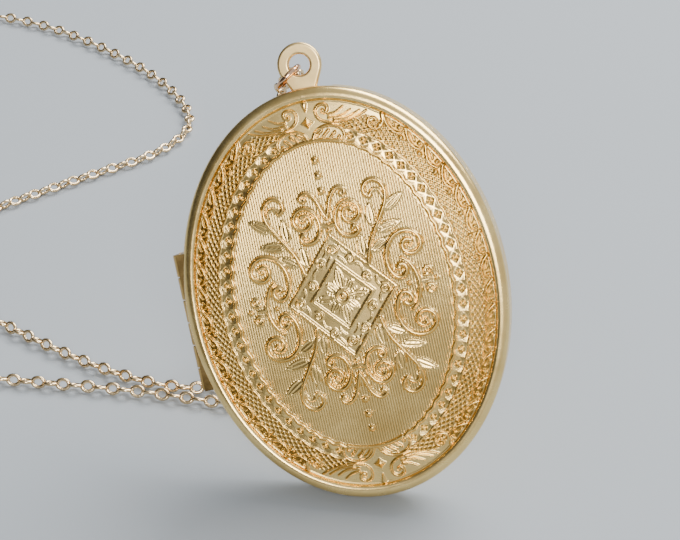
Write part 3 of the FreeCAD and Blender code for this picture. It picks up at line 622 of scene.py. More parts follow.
# ---------------------------------------------------------------- the stamped cover
@dataclass
class StampedCover:
    """The cover's domed sheet with its stamped pattern, in millimetres.

    Attributes:
        half_width: Half of the case's short axis.
        half_height: Half of its long axis.
        edge_level: Height of the sheet's edge above the seam.
        rise: How far the sheet rises from its edge to its centre.
        dome_depth: Depth of the ellipsoid that the sheet follows.
        rim: Where the sheet starts, in from the case outline.
        border_end: Where the border ends, in from the case outline.
        border_middle: The line that the border's length is measured along, in from the outline.
        oval: Half sizes of the reeded oval field.
        reed_pitch: Distance from one reed to the next.
        reed_half: Half of a reed's height.
        step: The field grid's spacing across and along the reeds.
        rows: The border grid's divisions along and across each half.
        back: Level of the sheet's underside.
        tallest: The height that counts as fully raised.
        ground: How far the border's plain ground lies above its deepest recesses.
    """

    half_width: float = 19.25
    half_height: float = 24.75
    edge_level: float = 1.9
    rise: float = 1.45
    dome_depth: float = 12.0
    rim: float = 1.5
    border_end: float = 6.62
    border_middle: float = 4.0
    oval: tuple[float, float] = (13.35, 18.6)
    reed_pitch: float = 0.3
    reed_half: float = 0.055
    step: tuple[float, float] = (0.075, 0.113)
    rows: tuple[int, int] = (960, 92)
    back: float = 1.5
    tallest: float = 0.32
    ground: float = 0.055

    # -------------------------------------------------------- base surface
    def dome(self, x: np.ndarray, y: np.ndarray) -> np.ndarray:
        """Give the plain sheet's height above the seam.

        Args:
            x: Distances from the long axis.
            y: Distances from the short axis.

        Returns:
            The heights.
        """
        share = math.sqrt(1 - ((self.dome_depth - self.rise) / self.dome_depth) ** 2)
        wide = (self.half_width - self.rim) / share
        tall = (self.half_height - self.rim) / share
        inside = np.clip(1 - (x / wide) ** 2 - (y / tall) ** 2, 0.0, 1.0)
        return self.edge_level + self.rise - self.dome_depth + self.dome_depth * np.sqrt(inside)

    def close(self, mesh: bmesh.types.BMesh, name: str, art: Relief) -> bpy.types.Object:
        """Lift a flat grid to the stamped surface and close it underneath.

        Args:
            mesh: The flat grid, its vertices in the same order as the pattern's points.
            name: The piece's name.
            art: The pattern.

        Returns:
            The finished piece.
        """
        # Each vertex's share of the tallest height; the relief finish paints shade where it is low.
        level = mesh.verts.layers.float.new("relief")
        heights = self.dome(art.x, art.y) + art.height
        shares = np.clip(art.height / self.tallest, 0.0, 1.0)
        for vert, x, y, z, share in zip(mesh.verts, art.x, art.y, heights, shares):
            vert.co = (x, y, z)
            vert[level] = share
        for face in mesh.faces:
            face.smooth = True
        rim_edges = [edge for edge in mesh.edges if edge.is_boundary]
        for edge in rim_edges:
            edge.smooth = False
        skirt = bmesh.ops.extrude_edge_only(mesh, edges=rim_edges)["geom"]
        for vert in (item for item in skirt if isinstance(item, bmesh.types.BMVert)):
            vert.co.z = self.back
            vert[level] = 0.0
        for wall in (item for item in skirt if isinstance(item, bmesh.types.BMFace)):
            wall.smooth = False
        bottom = [edge for edge in mesh.edges if edge.is_boundary]
        bmesh.ops.contextual_create(mesh, geom=bottom)
        bmesh.ops.recalc_face_normals(mesh, faces=mesh.faces)
        return finish_mesh(mesh, name)

    # -------------------------------------------------------- the oval field
    def build_field(self) -> bpy.types.Object:
        """Build the reeded oval field with its raised ornament."""
        mesh = bmesh.new()
        wide, tall = self.oval
        columns = round(2 * wide / self.step[0])
        rows = round(2 * tall / self.step[1])
        bmesh.ops.create_grid(mesh, x_segments=columns, y_segments=rows, size=1.0,
                              matrix=Matrix.Diagonal((wide, tall, 1.0, 1.0)))
        outside = [vert for vert in mesh.verts
                   if (vert.co.x / wide) ** 2 + (vert.co.y / tall) ** 2 > 1.0]
        bmesh.ops.delete(mesh, geom=outside, context="VERTS")
        places = np.array([vert.co[:2] for vert in mesh.verts])
        reeds = self.reed_half * (1 + np.cos(places[:, 0] * math.tau / self.reed_pitch))
        art = Relief(places[:, 0], places[:, 1], reeds)
        self.draw_lozenge(art)
        self.draw_flower(art)
        self.draw_scrolls(art.mirrored())
        self.draw_sprig(art.mirrored())
        return self.close(mesh, "cover_field", art)

    def draw_lozenge(self, art: Relief) -> None:
        """Draw the two nested lozenges and the row of small spirals between them."""
        quarter = art.mirrored()
        bed, groove_half, groove_depth = 0.08, 0.07, 0.05
        for half_x, half_y, width, height in ((6.45, 7.3, 0.25, 0.3), (3.7, 4.05, 0.22, 0.28)):
            slope = half_x * half_y / math.hypot(half_x, half_y)
            gap = (quarter.x / half_x + quarter.y / half_y - 1.0) * slope
            plain = gap < 0.0
            art.height[plain] = bed
            art.band(gap, width, height)
            art.height[np.abs(gap) < groove_half] -= groove_depth
        for centre, start in (((1.85, 4.1), 150.0), ((3.3, 1.85), -60.0)):
            quarter.ridge(smooth_path(spiral(centre, 0.6, 0.22, start, -430.0), 4), 0.16, 0.29, 0.12)
            quarter.dot(centre, 0.19, 0.26)
        for tendril in ([(2.35, 3.55), (2.8, 3.25), (2.95, 2.6)], [(0.75, 5.95), (1.0, 5.3), (1.35, 4.9)],
                        [(4.35, 1.5), (4.3, 0.95), (4.55, 0.5)], [(0.5, 4.6), (0.9, 4.2), (1.1, 3.7)]):
            quarter.ridge(smooth_path(tendril, 6), 0.14, 0.24, 0.08)
        for centre, start in (((0.0, 5.45), 200.0), ((5.1, 0.0), 110.0), ((0.0, -5.45), 20.0),
                              ((-5.1, 0.0), -70.0)):
            art.ridge(smooth_path(spiral(centre, 0.68, 0.24, start, -440.0), 4), 0.17, 0.31, 0.13)
            art.dot(centre, 0.21, 0.28)

    def draw_flower(self, art: Relief) -> None:
        """Draw the eight-petalled flower with its round button."""
        quarter = art.mirrored()
        button, ray_end = 0.85, 2.0
        for base, tip, width in (((button, 0.0), (3.35, 0.0), 0.5), ((0.0, button), (0.0, 3.65), 0.52),
                                 ((0.6, 0.62), (1.72, 1.86), 0.42)):
            quarter.leaf(base, tip, width, 0.22)
            line = np.array([base, ((base[0] + 3 * tip[0]) / 4, (base[1] + 3 * tip[1]) / 4)])
            quarter.ridge(line, 0.11, 0.2, 0.04)
        for degrees in (22.5, 67.5):
            angle = math.radians(degrees)
            ray = np.array([(reach * math.cos(angle), reach * math.sin(angle))
                            for reach in (button, ray_end)])
            quarter.ridge(ray, 0.1, 0.17, 0.05)
        radius = np.hypot(art.x, art.y)
        button_bed, button_ring = 0.1, 0.74
        art.height[radius < button] = button_bed
        art.band(radius - button_ring, 0.17, 0.3)
        art.dot((0.0, 0.0), 0.36, 0.36)

    def draw_scrolls(self, quarter: Relief) -> None:
        """Draw one quarter's scrolls, beads and dots.

        Args:
            quarter: The heights, seen through folded coordinates.
        """
        upper = [(2.8, 7.65), (3.05, 7.95), (3.4, 7.75), (3.4, 7.25), (2.95, 6.87), (2.3, 6.82), (1.6, 7.15),
                 (1.15, 7.85), (0.97, 8.7), (1.15, 9.7), (1.7, 10.55), (2.5, 10.95), (3.4, 10.7),
                 (3.95, 9.9), (3.78, 9.0), (3.05, 8.5), (2.25, 8.72), (1.95, 9.45), (2.3, 10.1),
                 (2.95, 10.1), (3.2, 9.6)]
        side = [(7.05, 2.05), (7.4, 2.4), (7.95, 2.25), (8.05, 1.6), (7.6, 0.98), (6.85, 0.98), (6.22, 1.8),
                (5.97, 2.9), (6.05, 3.95), (6.45, 4.95), (7.2, 5.8), (8.25, 6.2), (9.3, 6.05),
                (10.1, 5.35), (10.25, 4.35), (9.7, 3.6), (8.85, 3.45), (8.2, 3.95), (8.12, 4.7),
                (8.6, 5.15), (9.25, 4.95)]
        wing = [(0.12, 9.6), (0.42, 10.4), (0.78, 11.5), (1.3, 12.3), (1.95, 12.65), (2.55, 12.45),
                (2.7, 12.05), (2.4, 11.75), (2.12, 11.95)]
        bridge = [(7.7, 3.15), (8.45, 2.45), (8.97, 1.4), (9.18, 0.45), (9.2, 0.0)]
        quarter.ridge(smooth_path(upper), 0.31, 0.39, 0.27)
        quarter.ridge(smooth_path(side), 0.33, 0.39, 0.29)
        quarter.ridge(smooth_path(wing), 0.3, 0.37, 0.23)
        quarter.ridge(smooth_path(bridge), 0.18, 0.37, 0.39)
        quarter.ridge(np.array([(0.0, 8.45), (0.97, 8.62)]), 0.27, 0.34)
        quarter.ridge(np.array([(9.3, 0.0), (10.35, 0.0)]), 0.2, 0.24)
        quarter.ridge(smooth_path(spiral((10.4, 1.15), 0.62, 0.25, -120.0, 380.0), 4), 0.22, 0.32, 0.18)
        dot_height = 0.40
        for centre, radius in (((0.0, 9.4), 0.3), ((0.0, 7.85), 0.3), ((2.8, 7.55), 0.24),
                               ((2.85, 9.55), 0.3), ((7.3, 1.95), 0.25), ((8.98, 4.5), 0.3),
                               ((2.25, 12.05), 0.21), ((8.05, 0.0), 0.28), ((10.4, 1.15), 0.24),
                               ((11.3, 0.0), 0.31), ((0.0, 12.6), 0.44), ((0.0, 14.42), 0.44),
                               ((0.0, 16.22), 0.42)):
            quarter.dot(centre, radius, dot_height)

    def draw_sprig(self, quarter: Relief) -> None:
        """Draw one quarter's leaf sprig, which ends in a curled hook.

        Args:
            quarter: The heights, seen through folded coordinates.
        """
        stem = [(3.85, 3.3), (4.1, 4.4), (4.65, 5.85), (5.4, 7.1), (6.2, 8.35), (6.95, 9.6), (7.32, 10.8),
                (7.25, 11.75), (6.8, 12.45), (6.05, 12.78), (5.3, 12.55), (4.9, 11.95), (5.0, 11.25),
                (5.5, 10.9)]
        hook = [(6.95, 10.6), (6.75, 11.35), (6.2, 11.6), (5.75, 11.35)]
        quarter.ridge(smooth_path(stem), 0.27, 0.37, 0.27)
        quarter.ridge(smooth_path(hook), 0.18, 0.29, 0.22)
        quarter.dot((5.62, 11.12), 0.27, 0.34)
        for base, tip, width in (((6.8, 9.0), (9.3, 10.65), 0.62), ((5.55, 6.85), (8.6, 7.42), 0.64),
                                 ((4.5, 4.55), (6.75, 5.8), 0.6), ((5.15, 7.5), (5.2, 10.2), 0.62),
                                 ((3.45, 4.2), (3.6, 6.7), 0.66)):
            quarter.leaf(base, tip, width, 0.3)

    # -------------------------------------------------------- the border
    def outline(self, angles: np.ndarray, offset: np.ndarray | float) -> tuple[np.ndarray, np.ndarray]:
        """Give points inside the case outline.

        Args:
            angles: The outline's parameter, from the top pole towards +X.
            offset: How far in from the outline.

        Returns:
            The points' X and Y.
        """
        across = self.half_height * np.sin(angles)
        along = self.half_width * np.cos(angles)
        length = np.hypot(across, along)
        x = self.half_width * np.sin(angles) - offset * across / length
        y = self.half_height * np.cos(angles) - offset * along / length
        return x, y

    def travel(self, offset: float) -> tuple[np.ndarray, np.ndarray]:
        """Measure the way round one side, from pole to pole.

        Args:
            offset: How far in from the outline the way runs.

        Returns:
            Evenly spaced parameters, and the distance travelled at each.
        """
        angles = np.linspace(0.0, math.pi, 2001)
        x, y = self.outline(angles, offset)
        steps = np.hypot(np.diff(x), np.diff(y))
        return angles, np.concatenate([[0.0], np.cumsum(steps)])

    def build_border(self, side: int) -> bpy.types.Object:
        """Build one side's border.

        Args:
            side: 1 for the side away from the hinge, -1 for the hinge side.

        Returns:
            The border piece.
        """
        half = 0.5
        mesh = bmesh.new()
        bmesh.ops.create_grid(mesh, x_segments=self.rows[0], y_segments=self.rows[1], size=half)
        shares = np.array([vert.co[:2] for vert in mesh.verts])
        angles, way = self.travel(self.border_middle)
        distance = (shares[:, 0] + half) * way[-1]
        offset = self.rim + (half - shares[:, 1]) * (self.border_end - self.rim)
        angle = np.interp(distance, way, angles)
        x, y = self.outline(angle, offset)
        art = Relief(side * x, y, self.ground)
        self.draw_lattice(art, distance, offset)
        self.draw_scallops(art, distance, offset)
        self.draw_bead_chain(art, distance, offset)
        self.draw_pole(art.mirrored(), offset)
        edge_line, edge_half, edge_height = 1.66, 0.14, 0.13
        art.band(offset - edge_line, edge_half, edge_height)
        return self.close(mesh, "cover_border_%s" % ("right" if side > 0 else "left"), art)

    def cells(self, distance: np.ndarray, pole: float, count: int) -> tuple[np.ndarray, float]:
        """Divide one side into equal cells between its two poles' ornaments.

        Args:
            distance: Each point's distance along the side.
            pole: The parameter in degrees where the first cell starts.
            count: How many cells there are.

        Returns:
            Each point's distance into its cell, below zero outside the cells, and the cell's length.
        """
        angles, way = self.travel(self.border_middle)
        first = float(np.interp(math.radians(pole), angles, way))
        length = (way[-1] - 2 * first) / count
        inside = (distance > first) & (distance < way[-1] - first)
        return np.where(inside, (distance - first) % length, -FAR), length

    def draw_lattice(self, art: Relief, distance: np.ndarray, offset: np.ndarray) -> None:
        """Draw the crosshatching of thin slanted lines, cut back at a slant next to the poles."""
        lean, pitch, half_width, height = 1.65, 0.95, 0.075, 0.16
        start, end, pole_gap = 2.5, 4.75, 3.5
        slant_offset, slant_x, slant = 4.4, 3.6, 0.58
        across = np.abs(art.x)
        slanted = slant_offset - (across - slant_x) * slant
        shown = (offset > start) & (offset < end) & (across > pole_gap) & (offset > slanted)
        art.height[shown] = 0.0
        for sense in (1, -1):
            share = ((distance + sense * lean * offset) / pitch) % 1.0 - 0.5
            gap = np.where(shown, share * pitch / math.hypot(1.0, lean), FAR)
            art.band(gap, half_width, height)

    def draw_scallops(self, art: Relief, distance: np.ndarray, offset: np.ndarray) -> None:
        """Draw the row of hooked scallops next to the rim, with a bead at each joint."""
        pole, count, bed_end = 31.0, 15, 2.75
        bead_along, bead_offset, bead_radius, bead_height = 0.22, 2.95, 0.3, 0.36
        into, length = self.cells(distance, pole, count)
        row = Relief(into, offset)
        row.height = art.height
        hook = [(0.02, 1.62), (0.5, 2.2), (1.2, 2.66), (1.95, 2.78), (2.55, 2.52), (2.8, 2.05),
                (2.62, 1.78)]
        tongue = [(0.85, 1.82), (1.25, 1.98), (1.6, 2.25)]
        row.height[(into > 0.0) & (offset < bed_end)] = 0.0
        row.ridge(smooth_path(hook), 0.19, 0.34, 0.15)
        row.ridge(smooth_path(tongue), 0.13, 0.26, 0.1)
        row.dot((2.15, 2.08), 0.25, 0.30)
        for joint in (bead_along, length + bead_along):
            row.dot((joint, bead_offset), bead_radius, bead_height)

    def draw_bead_chain(self, art: Relief, distance: np.ndarray, offset: np.ndarray) -> None:
        """Draw the raised band with its row of sunk diamonds, each with a bead, and its facets."""
        pole, count = 17.5, 25
        start, middle, end, level = 4.45, 5.38, 6.4, 0.13
        facet_length, facet_width, facet_out, facet_rise = 0.75, 0.5, 0.55, 0.07
        pit_length, pit_width, pit_floor, pit_height = 0.80, 0.64, 0.62, 0.15
        outer_edge, outer_wave, inner_edge, inner_wave, pole_edge = 4.58, 0.07, 6.2, 0.09, 6.27
        into, length = self.cells(distance, pole, count)
        shown = into > -1.0
        along = np.abs(into - length / 2)
        out = np.abs(offset - middle)
        wave = np.cos(math.tau * into / length)
        inside = shown & (offset > start) & (offset < end)
        art.height[inside] = level
        facet = 1.0 - np.abs(along - length / 2) / facet_length - np.abs(out - facet_out) / facet_width
        art.height[inside] += facet_rise * np.clip(facet[inside], 0.0, 1.0)
        pit = along / pit_length + out / pit_width
        sunk = inside & (pit < 1.0)
        wall = np.clip((pit[sunk] - pit_floor) / (1.0 - pit_floor), 0.0, 1.0)
        art.height[sunk] = pit_height * wall
        bead = Relief(along, out)
        bead.height = art.height
        bead.dot((0.0, 0.0), 0.26, 0.27)
        outer_gap = np.where(shown, offset - outer_edge - outer_wave * wave, FAR)
        inner_gap = np.where(shown, offset - inner_edge + inner_wave * wave, offset - pole_edge)
        art.band(outer_gap, 0.17, 0.30)
        art.band(inner_gap, 0.26, 0.38)

    def draw_pole(self, quarter: Relief, offset: np.ndarray) -> None:
        """Draw the ornament at the top and bottom: star, feathered scrolls and shells.

        Args:
            quarter: The heights, seen through folded coordinates.
            offset: Each point's distance in from the case outline.
        """
        shell_centre, shell_reach = (2.1, 18.4), (2.2, 1.7)
        wing_base, wing_slope, wing_end, inner_margin = 20.05, 0.06, 7.0, 0.6
        shell_ground = np.hypot((quarter.x - shell_centre[0]) / shell_reach[0],
                                (quarter.y - shell_centre[1]) / shell_reach[1]) < 1.0
        wing_ground = (quarter.y > wing_base + wing_slope * quarter.x) & (quarter.x < wing_end)
        cleared = (shell_ground | wing_ground) & (offset < self.border_end - inner_margin)
        quarter.height[cleared & (offset > self.rim)] = self.ground
        feather = [(2.05, 21.6), (2.35, 21.5), (2.6, 21.8), (2.6, 22.2), (2.2, 22.48), (1.62, 22.42),
                   (1.2, 21.95), (1.25, 21.2), (1.75, 20.6), (2.6, 20.27), (3.7, 20.05), (5.0, 20.1),
                   (6.1, 20.35), (7.1, 20.75)]
        quarter.ridge(smooth_path(feather), 0.23, 0.34, 0.11)
        for rib in ([(2.65, 21.2), (3.5, 21.27), (4.5, 21.8)], [(2.6, 20.78), (4.1, 20.75), (5.3, 21.25)],
                    [(3.2, 20.4), (4.8, 20.42), (6.3, 20.95)]):
            quarter.ridge(smooth_path(rib), 0.18, 0.28, 0.09)
        curl = [(8.75, 20.0), (8.75, 19.2), (8.4, 18.6), (7.85, 18.4), (7.25, 18.65), (6.98, 19.2),
                (7.2, 19.7), (7.75, 19.75), (8.05, 19.4)]
        quarter.ridge(smooth_path(curl), 0.22, 0.33, 0.17)
        shell = [(0.28, 18.55), (0.72, 19.35), (1.6, 19.85), (2.65, 19.9), (3.6, 19.5), (4.05, 18.85),
                 (3.95, 18.2), (3.55, 17.9), (3.2, 18.15)]
        quarter.ridge(smooth_path(shell), 0.23, 0.34, 0.17)
        for rib in ([(1.5, 19.5), (1.0, 19.1), (0.5, 18.4)], [(2.3, 19.35), (1.75, 18.9), (1.3, 18.3)],
                    [(3.0, 19.0), (2.55, 18.6), (2.15, 18.15)]):
            quarter.ridge(smooth_path(rib), 0.22, 0.29, 0.15)
        for centre, radius in (((2.05, 21.75), 0.23), ((7.75, 19.2), 0.22), ((3.42, 18.4), 0.22)):
            quarter.dot(centre, radius, 0.32)
        quarter.ridge(np.array([(0.0, 22.9), (0.0, 21.95)]), 0.39, 0.28, 0.06)
        star_y, star_half, star_hollow, star_height = 20.65, (0.95, 0.85), 0.85, 0.62
        star = ((quarter.x / star_half[0]) ** star_hollow
                + (np.abs(quarter.y - star_y) / star_half[1]) ** star_hollow)
        chosen = np.flatnonzero(star < 1.0)
        quarter.raise_to(chosen, star_height * (1.0 - star[chosen]))

    def build(self, wardrobe: Wardrobe) -> None:
        """Build the cover's stamped face and put it on the cover.

        Args:
            wardrobe: The finishes.
        """
        pieces = [self.build_field(), self.build_border(1), self.build_border(-1)]
        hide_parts("front_panel")
        for piece in pieces:
            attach(piece, "cover")
            wardrobe.dress(piece, Finish.RELIEF)
            log.info("%s: %d faces", piece.name, len(piece.data.polygons))


# ---------------------------------------------------------------- the chain
@dataclass
class ChainStrand:
    """One strand of the cable chain: loose oval links along a route on the table.

    Attributes:
        name: The piece's name.
        node: The CAD tube that it replaces.
        route: The route's points in millimetres, from the jump ring outwards.
        length: The strand's real length in millimetres. Not used.
        first: Where along the route the first link's centre lies.
        reverse: True if the strand is told from its far end. Not used.
        far_end: What the strand ends in. Not used.
        fittings: The CAD pieces on its end. Not used.
        seed: Seed for the links' small differences.
        diameter: The strand's real thickness. Not used.
        link_length: A link's outer length.
        link_width: Its outer width.
        link_wire: Its wire's thickness.
        link_pitch: Distance from one link's centre to the next.
        wire_swell: How much wider the six-sided wire is made, to look as thick as a round one.
        tangent_reach: How far to each side of a link the line's direction is taken.
        face: The way that every second link faces as it lies.
        face_pull: How strongly each link turns back to that way.
        roll_start: The most that the first link is rolled, in degrees.
        roll_step: The most that the roll changes from link to link.
        roll_limit: The most that the roll drifts.
    """

    name: str
    node: str
    route: list[tuple[float, float, float]]
    length: float
    first: float = 0.55
    reverse: bool = False
    far_end: str = "fitting"
    fittings: list[str] = field(default_factory=list)
    seed: int = 1
    diameter: float = 1.7
    link_length: float = 2.1
    link_width: float = 1.7
    link_wire: float = 0.42
    link_pitch: float = 1.64
    wire_swell: float = 1.08
    tangent_reach: float = 0.6
    face: tuple[float, float, float] = (0.1, -0.7, 0.7)
    face_pull: float = 0.5
    roll_start: float = 12.0
    roll_step: float = 6.0
    roll_limit: float = 24.0

    def centreline(self) -> list[Vector]:
        """Read the points of the smooth line through the route.

        Returns:
            Points in the row's frame, in metres.
        """
        data = bpy.data.curves.new(self.name + "_line", "CURVE")
        data.dimensions = "3D"
        data.resolution_u = 30
        spline = data.splines.new("NURBS")
        spline.points.add(len(self.route) - 1)
        for point, place in zip(spline.points, self.route):
            point.co = (place[0] * MM, place[1] * MM, place[2] * MM, 1.0)
        spline.order_u = 3
        spline.use_endpoint_u = True
        holder = bpy.data.objects.new(self.name + "_line", data)
        line = bpy.data.meshes.new_from_object(holder)
        points = [vert.co.copy() for vert in line.vertices]
        bpy.data.objects.remove(holder)
        bpy.data.curves.remove(data)
        bpy.data.meshes.remove(line)
        return points

    def link_shape(self) -> bpy.types.Mesh:
        """Make one flat oval link about its own centre, long along X.

        Returns:
            The link's mesh, in millimetres.
        """
        mesh = bmesh.new()
        mean = (self.link_width - self.link_wire) / 2
        radius = self.link_wire / 2 * self.wire_swell
        wire = bmesh.ops.create_circle(mesh, segments=6, radius=radius)["verts"]
        upright = Matrix.Rotation(math.pi / 2, 4, "X") @ Matrix.Rotation(math.pi / 6, 4, "Z")
        bmesh.ops.transform(mesh, matrix=Matrix.Translation((mean, 0, 0)) @ upright, verts=wire)
        bmesh.ops.spin(mesh, geom=mesh.edges[:], cent=(0, 0, 0), axis=(0, 0, 1), angle=math.tau,
                       steps=14, use_merge=True)
        bmesh.ops.remove_doubles(mesh, verts=mesh.verts, dist=1e-4)
        bmesh.ops.scale(mesh, vec=(self.link_length / self.link_width, 1.0, 1.0), verts=mesh.verts)
        bmesh.ops.recalc_face_normals(mesh, faces=mesh.faces)
        for face in mesh.faces:
            face.smooth = True
        shape = bpy.data.meshes.new("chain_link")
        mesh.to_mesh(shape)
        mesh.free()
        return shape

    def build(self, wardrobe: Wardrobe) -> None:
        """Args:
            wardrobe: The finishes.
        """
        points = self.centreline()
        places = np.array([point[:] for point in points])
        steps = np.linalg.norm(np.diff(places, axis=0), axis=1)
        way = np.concatenate([[0.0], np.cumsum(steps)]) / MM

        def spot(distance: float) -> Vector:
            """Give the line's point at a distance along it, held within its ends."""
            return Vector([float(np.interp(distance, way, places[:, axis])) for axis in range(3)])

        link = self.link_shape()
        mesh = bmesh.new()
        chance = random.Random(self.seed)
        count = int((way[-1] - self.first) / self.link_pitch) + 1
        face = Vector(self.face)
        drift = chance.uniform(-self.roll_start, self.roll_start)
        for number in range(count):
            at = self.first + number * self.link_pitch
            centre = spot(at)
            along = (spot(at + self.tangent_reach) - spot(at - self.tangent_reach)).normalized()
            face = (Vector(self.face) * self.face_pull + face).normalized()
            face = (face - along * face.dot(along)).normalized()
            side = face.cross(along)
            drift += chance.uniform(-self.roll_step, self.roll_step)
            drift = max(-self.roll_limit, min(self.roll_limit, drift))
            roll = drift + (90.0 if number % 2 else 0.0)
            turn = Matrix((along, side, face)).transposed().to_4x4()
            turn = turn @ Matrix.Rotation(math.radians(roll), 4, "X")
            copy = link.copy()
            copy.transform(Matrix.Translation(centre) @ turn @ Matrix.Scale(MM, 4))
            mesh.from_mesh(copy)
            bpy.data.meshes.remove(copy)
        bpy.data.meshes.remove(link)
        piece = finish_mesh(mesh, self.name, Matrix.Identity(4))
        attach(piece, "case_back")
        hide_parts(self.node)
        wardrobe.dress(piece, Finish.CHAIN)
        log.info("%s: %d links, %.1f mm", self.name, count, way[-1])


CLASP_ROUTE = [
    (-7.6, 14.5, 43.6), (-6.8, 17.0, 39.6), (-6.2, 18.2, 30.5), (-5.9, 18.7, 19.0),
    (-5.1, 18.8, 8.4), (-1.4, 18.5, 0.95), (5.6, 16.9, 0.85), (12.4, 13.1, 0.85),
    (12.8, 5.9, 0.85), (6.6, 2.1, 0.85), (-1.7, 2.0, 0.85), (-10.2, 3.7, 0.85),
    (-18.9, 4.8, 0.85), (-29.9, 5.4, 0.85), (-41.5, 5.1, 0.85), (-54.6, 5.2, 0.85),
    (-68.0, 7.4, 0.85), (-80.6, 14.8, 0.85), (-86.6, 26.4, 0.85),
]
RING_ROUTE = [
    (-9.4, 12.9, 42.6), (-10.4, 15.6, 38.4), (-11.3, 17.1, 29.5), (-11.6, 17.6, 18.5),
    (-11.9, 17.8, 10.5), (-12.6, 16.2, 3.0), (-14.0, 10.6, 0.85), (-18.5, 7.0, 0.85),
    (-26.0, 7.0, 0.85), (-35.5, 10.3, 0.85), (-46.0, 15.8, 0.85), (-55.8, 21.4, 0.85),
    (-63.8, 28.8, 0.85), (-65.0, 38.8, 0.85), (-57.0, 47.5, 0.85), (-47.2, 57.3, 0.85),
    (-37.8, 65.7, 0.85), (-34.6, 75.7, 0.85), (-41.8, 87.3, 0.85), (-53.8, 97.3, 0.85),
    (-67.6, 105.1, 0.85), (-81.0, 107.4, 0.85), (-91.4, 100.0, 0.85), (-95.0, 88.4, 0.85),
    (-93.4, 75.6, 0.85), (-89.4, 63.4, 0.85),
]


# ---------------------------------------------------------------- carried-over pieces
class CadDress:
    """Puts each kept CAD node in its finish."""

    finishes: dict[Finish, tuple[str, ...]] = {
        Finish.RIM: ("back_rim", "front_rim", "closing_lip"),
        Finish.BACK: ("back_panel",),
        Finish.BAIL: ("bail_tab",),
        Finish.HINGE: ("back_hinge_leaf", "front_hinge_leaf", "hinge_pin",
                       *("hinge_knuckle_%d" % number for number in range(1, 7))),
        Finish.FRAME: ("back_frame", "front_frame"),
        Finish.RING: ("jump_ring", "clasp_ring", "end_ring"),
        Finish.CHAIN: ("end_link_left", "end_link_right"),
        Finish.CLASP: ("clasp_body", "clasp_lever", "clasp_pin"),
        Finish.WINDOW: ("back_window", "front_window"),
        Finish.CARD: ("back_photo_card", "front_photo_card"),
    }

    def dress(self, wardrobe: Wardrobe) -> None:
        """Dress every kept node.

        Args:
            wardrobe: The finishes.
        """
        for finish, nodes in self.finishes.items():
            for node in nodes:
                wardrobe.dress(bpy.data.objects[node], finish)
            log.info("%s on %s", finish.name.lower(), ", ".join(nodes))


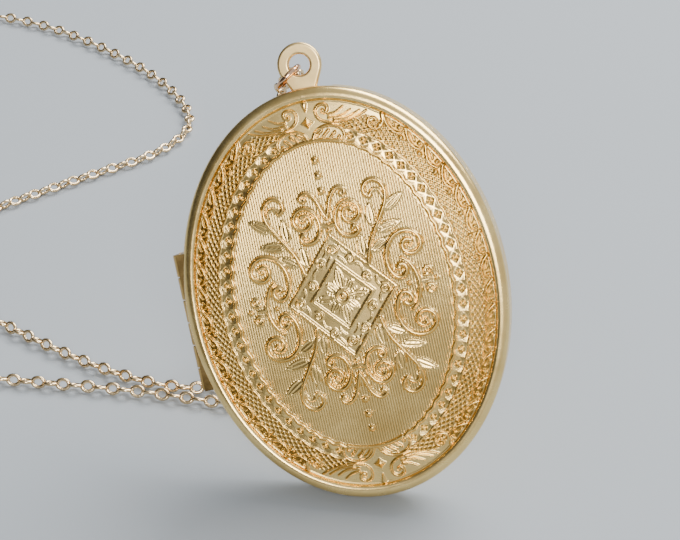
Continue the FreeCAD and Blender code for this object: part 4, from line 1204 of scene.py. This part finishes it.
# ---------------------------------------------------------------- the studio
@dataclass
class Studio:
    """The pale table, the soft lights and the camera. Distances are in millimetres.

    Attributes:
        azimuth: How far the camera stands to the right of straight in front, in degrees.
        elevation: How far it looks down, in degrees.
        distance: From the camera to the locket's middle, along its axis.
        lens: Focal length.
        sensor: Width of the sensor.
        aim: How far right of and above the locket's middle the camera's axis passes.
        bright_side: Where the room is brightest.
    """

    azimuth: float = 9.0
    elevation: float = 33.0
    distance: float = 261.9
    lens: float = 116.5
    sensor: float = 36.0
    aim: tuple[float, float] = (-0.82, 2.6)
    bright_side: tuple[float, float, float] = (0.75, 0.05, 0.65)

    def place_camera(self) -> None:
        """Make the camera and set it as the scene's."""
        turn, rise = math.radians(self.azimuth), math.radians(self.elevation)
        back = Vector((math.sin(turn) * math.cos(rise), -math.cos(turn) * math.cos(rise), math.sin(rise)))
        right = Vector((math.cos(turn), math.sin(turn), 0.0))
        up = back.cross(right)
        target = STANCE.translation + (right * self.aim[0] + up * self.aim[1]) * MM
        data = bpy.data.cameras.new("studio_camera")
        data.lens = self.lens
        data.sensor_width = self.sensor
        data.clip_start = 0.01
        data.clip_end = 10.0
        camera = bpy.data.objects.new("studio_camera", data)
        camera.matrix_world = Matrix.Translation(target + back * self.distance * MM) @ Matrix(
            (right, up, back)).transposed().to_4x4()
        bpy.context.scene.collection.objects.link(camera)
        bpy.context.scene.camera = camera

    def lay_floor(self) -> None:
        """Make the plain pale table."""
        mesh = bmesh.new()
        bmesh.ops.create_grid(mesh, x_segments=1, y_segments=1, size=3.0)
        table = finish_mesh(mesh, "table", Matrix.Identity(4))
        material = bpy.data.materials.new("pale_table")
        material.use_nodes = True
        shader = principled(material)
        shader.inputs["Base Color"].default_value = (0.30, 0.33, 0.36, 1.0)
        shader.inputs["Roughness"].default_value = 0.75
        table.data.materials.append(material)

    def soft_light(self, name: str, place: tuple[float, float, float], size: tuple[float, float],
                   power: float, colour: tuple[float, float, float]) -> None:
        """Hang one soft light that faces the locket.

        Args:
            name: The light's name.
            place: Its place from the locket's middle, in metres.
            size: Its width and height, in metres.
            power: Its power in watts.
            colour: Its colour.
        """
        data = bpy.data.lights.new(name, "AREA")
        data.shape = "RECTANGLE"
        data.size, data.size_y = size
        data.energy = power
        data.color = colour
        lamp = bpy.data.objects.new(name, data)
        lamp.location = STANCE.translation + Vector(place)
        lamp.rotation_mode = "QUATERNION"
        lamp.rotation_quaternion = Vector(place).to_track_quat("Z", "Y")
        bpy.context.scene.collection.objects.link(lamp)

    def surround(self) -> None:
        """Surround the scene with a soft grey room, dark to the left and bright to the upper right."""
        world = bpy.data.worlds.new("studio_world")
        world.use_nodes = True
        tree = world.node_tree
        place = add_node(tree, "ShaderNodeTexCoord")
        toward = add_node(tree, "ShaderNodeVectorMath", operation="DOT_PRODUCT")
        toward.inputs[1].default_value = Vector(self.bright_side).normalized()
        tree.links.new(place.outputs["Generated"], toward.inputs[0])
        shade = add_node(tree, "ShaderNodeValToRGB")
        stops = shade.color_ramp.elements
        stops[0].position = 0.0
        stops[0].color = (0.02, 0.02, 0.02, 1.0)
        stops[1].position = 0.85
        stops[1].color = (0.95, 0.97, 1.0, 1.0)
        middle = stops.new(0.46)
        middle.color = (0.16, 0.165, 0.17, 1.0)
        share = add_node(tree, "ShaderNodeMapRange", clamp=True)
        share.inputs["From Min"].default_value = -1.0
        tree.links.new(toward.outputs["Value"], share.inputs["Value"])
        tree.links.new(share.outputs["Result"], shade.inputs["Fac"])
        tree.links.new(shade.outputs["Color"], tree.nodes["Background"].inputs["Color"])
        tree.nodes["Background"].inputs["Strength"].default_value = 0.8
        bpy.context.scene.world = world

    def light(self) -> None:
        """Hang a wide soft light behind on the right, and a smaller one in front on the right."""
        self.soft_light("window", place=(0.30, 0.50, 0.60), size=(0.8, 0.5), power=17.0,
                        colour=(1.0, 0.99, 0.97))
        self.soft_light("front_window", place=(0.16, -0.78, 0.52), size=(0.36, 0.30), power=7.5,
                        colour=(1.0, 0.98, 0.95))

    def build(self) -> None:
        """Build the whole studio."""
        self.place_camera()
        self.lay_floor()
        self.surround()
        self.light()
        log.info("studio ready")


def main() -> None:
    """Build the locket, its chain and the studio."""
    logging.basicConfig(level=logging.INFO, format="%(name)s: %(message)s")
    Studio().build()
    wardrobe = Wardrobe()
    CadDress().dress(wardrobe)
    StampedCover().build(wardrobe)
    ChainStrand("chain_to_clasp", "chain_clasp_strand", CLASP_ROUTE, 174.0, far_end="fitting",
                fittings=["clasp_body", "clasp_lever", "clasp_pin", "clasp_ring", "end_ring"],
                seed=4).build(wardrobe)
    ChainStrand("chain_to_ring", "chain_ring_strand", RING_ROUTE, 268.0, reverse=True, far_end="object",
                fittings=["end_link_left", "end_link_right"], seed=9).build(wardrobe)


if __name__ == "__main__":
    main()
    bpy.context.view_layer.update()
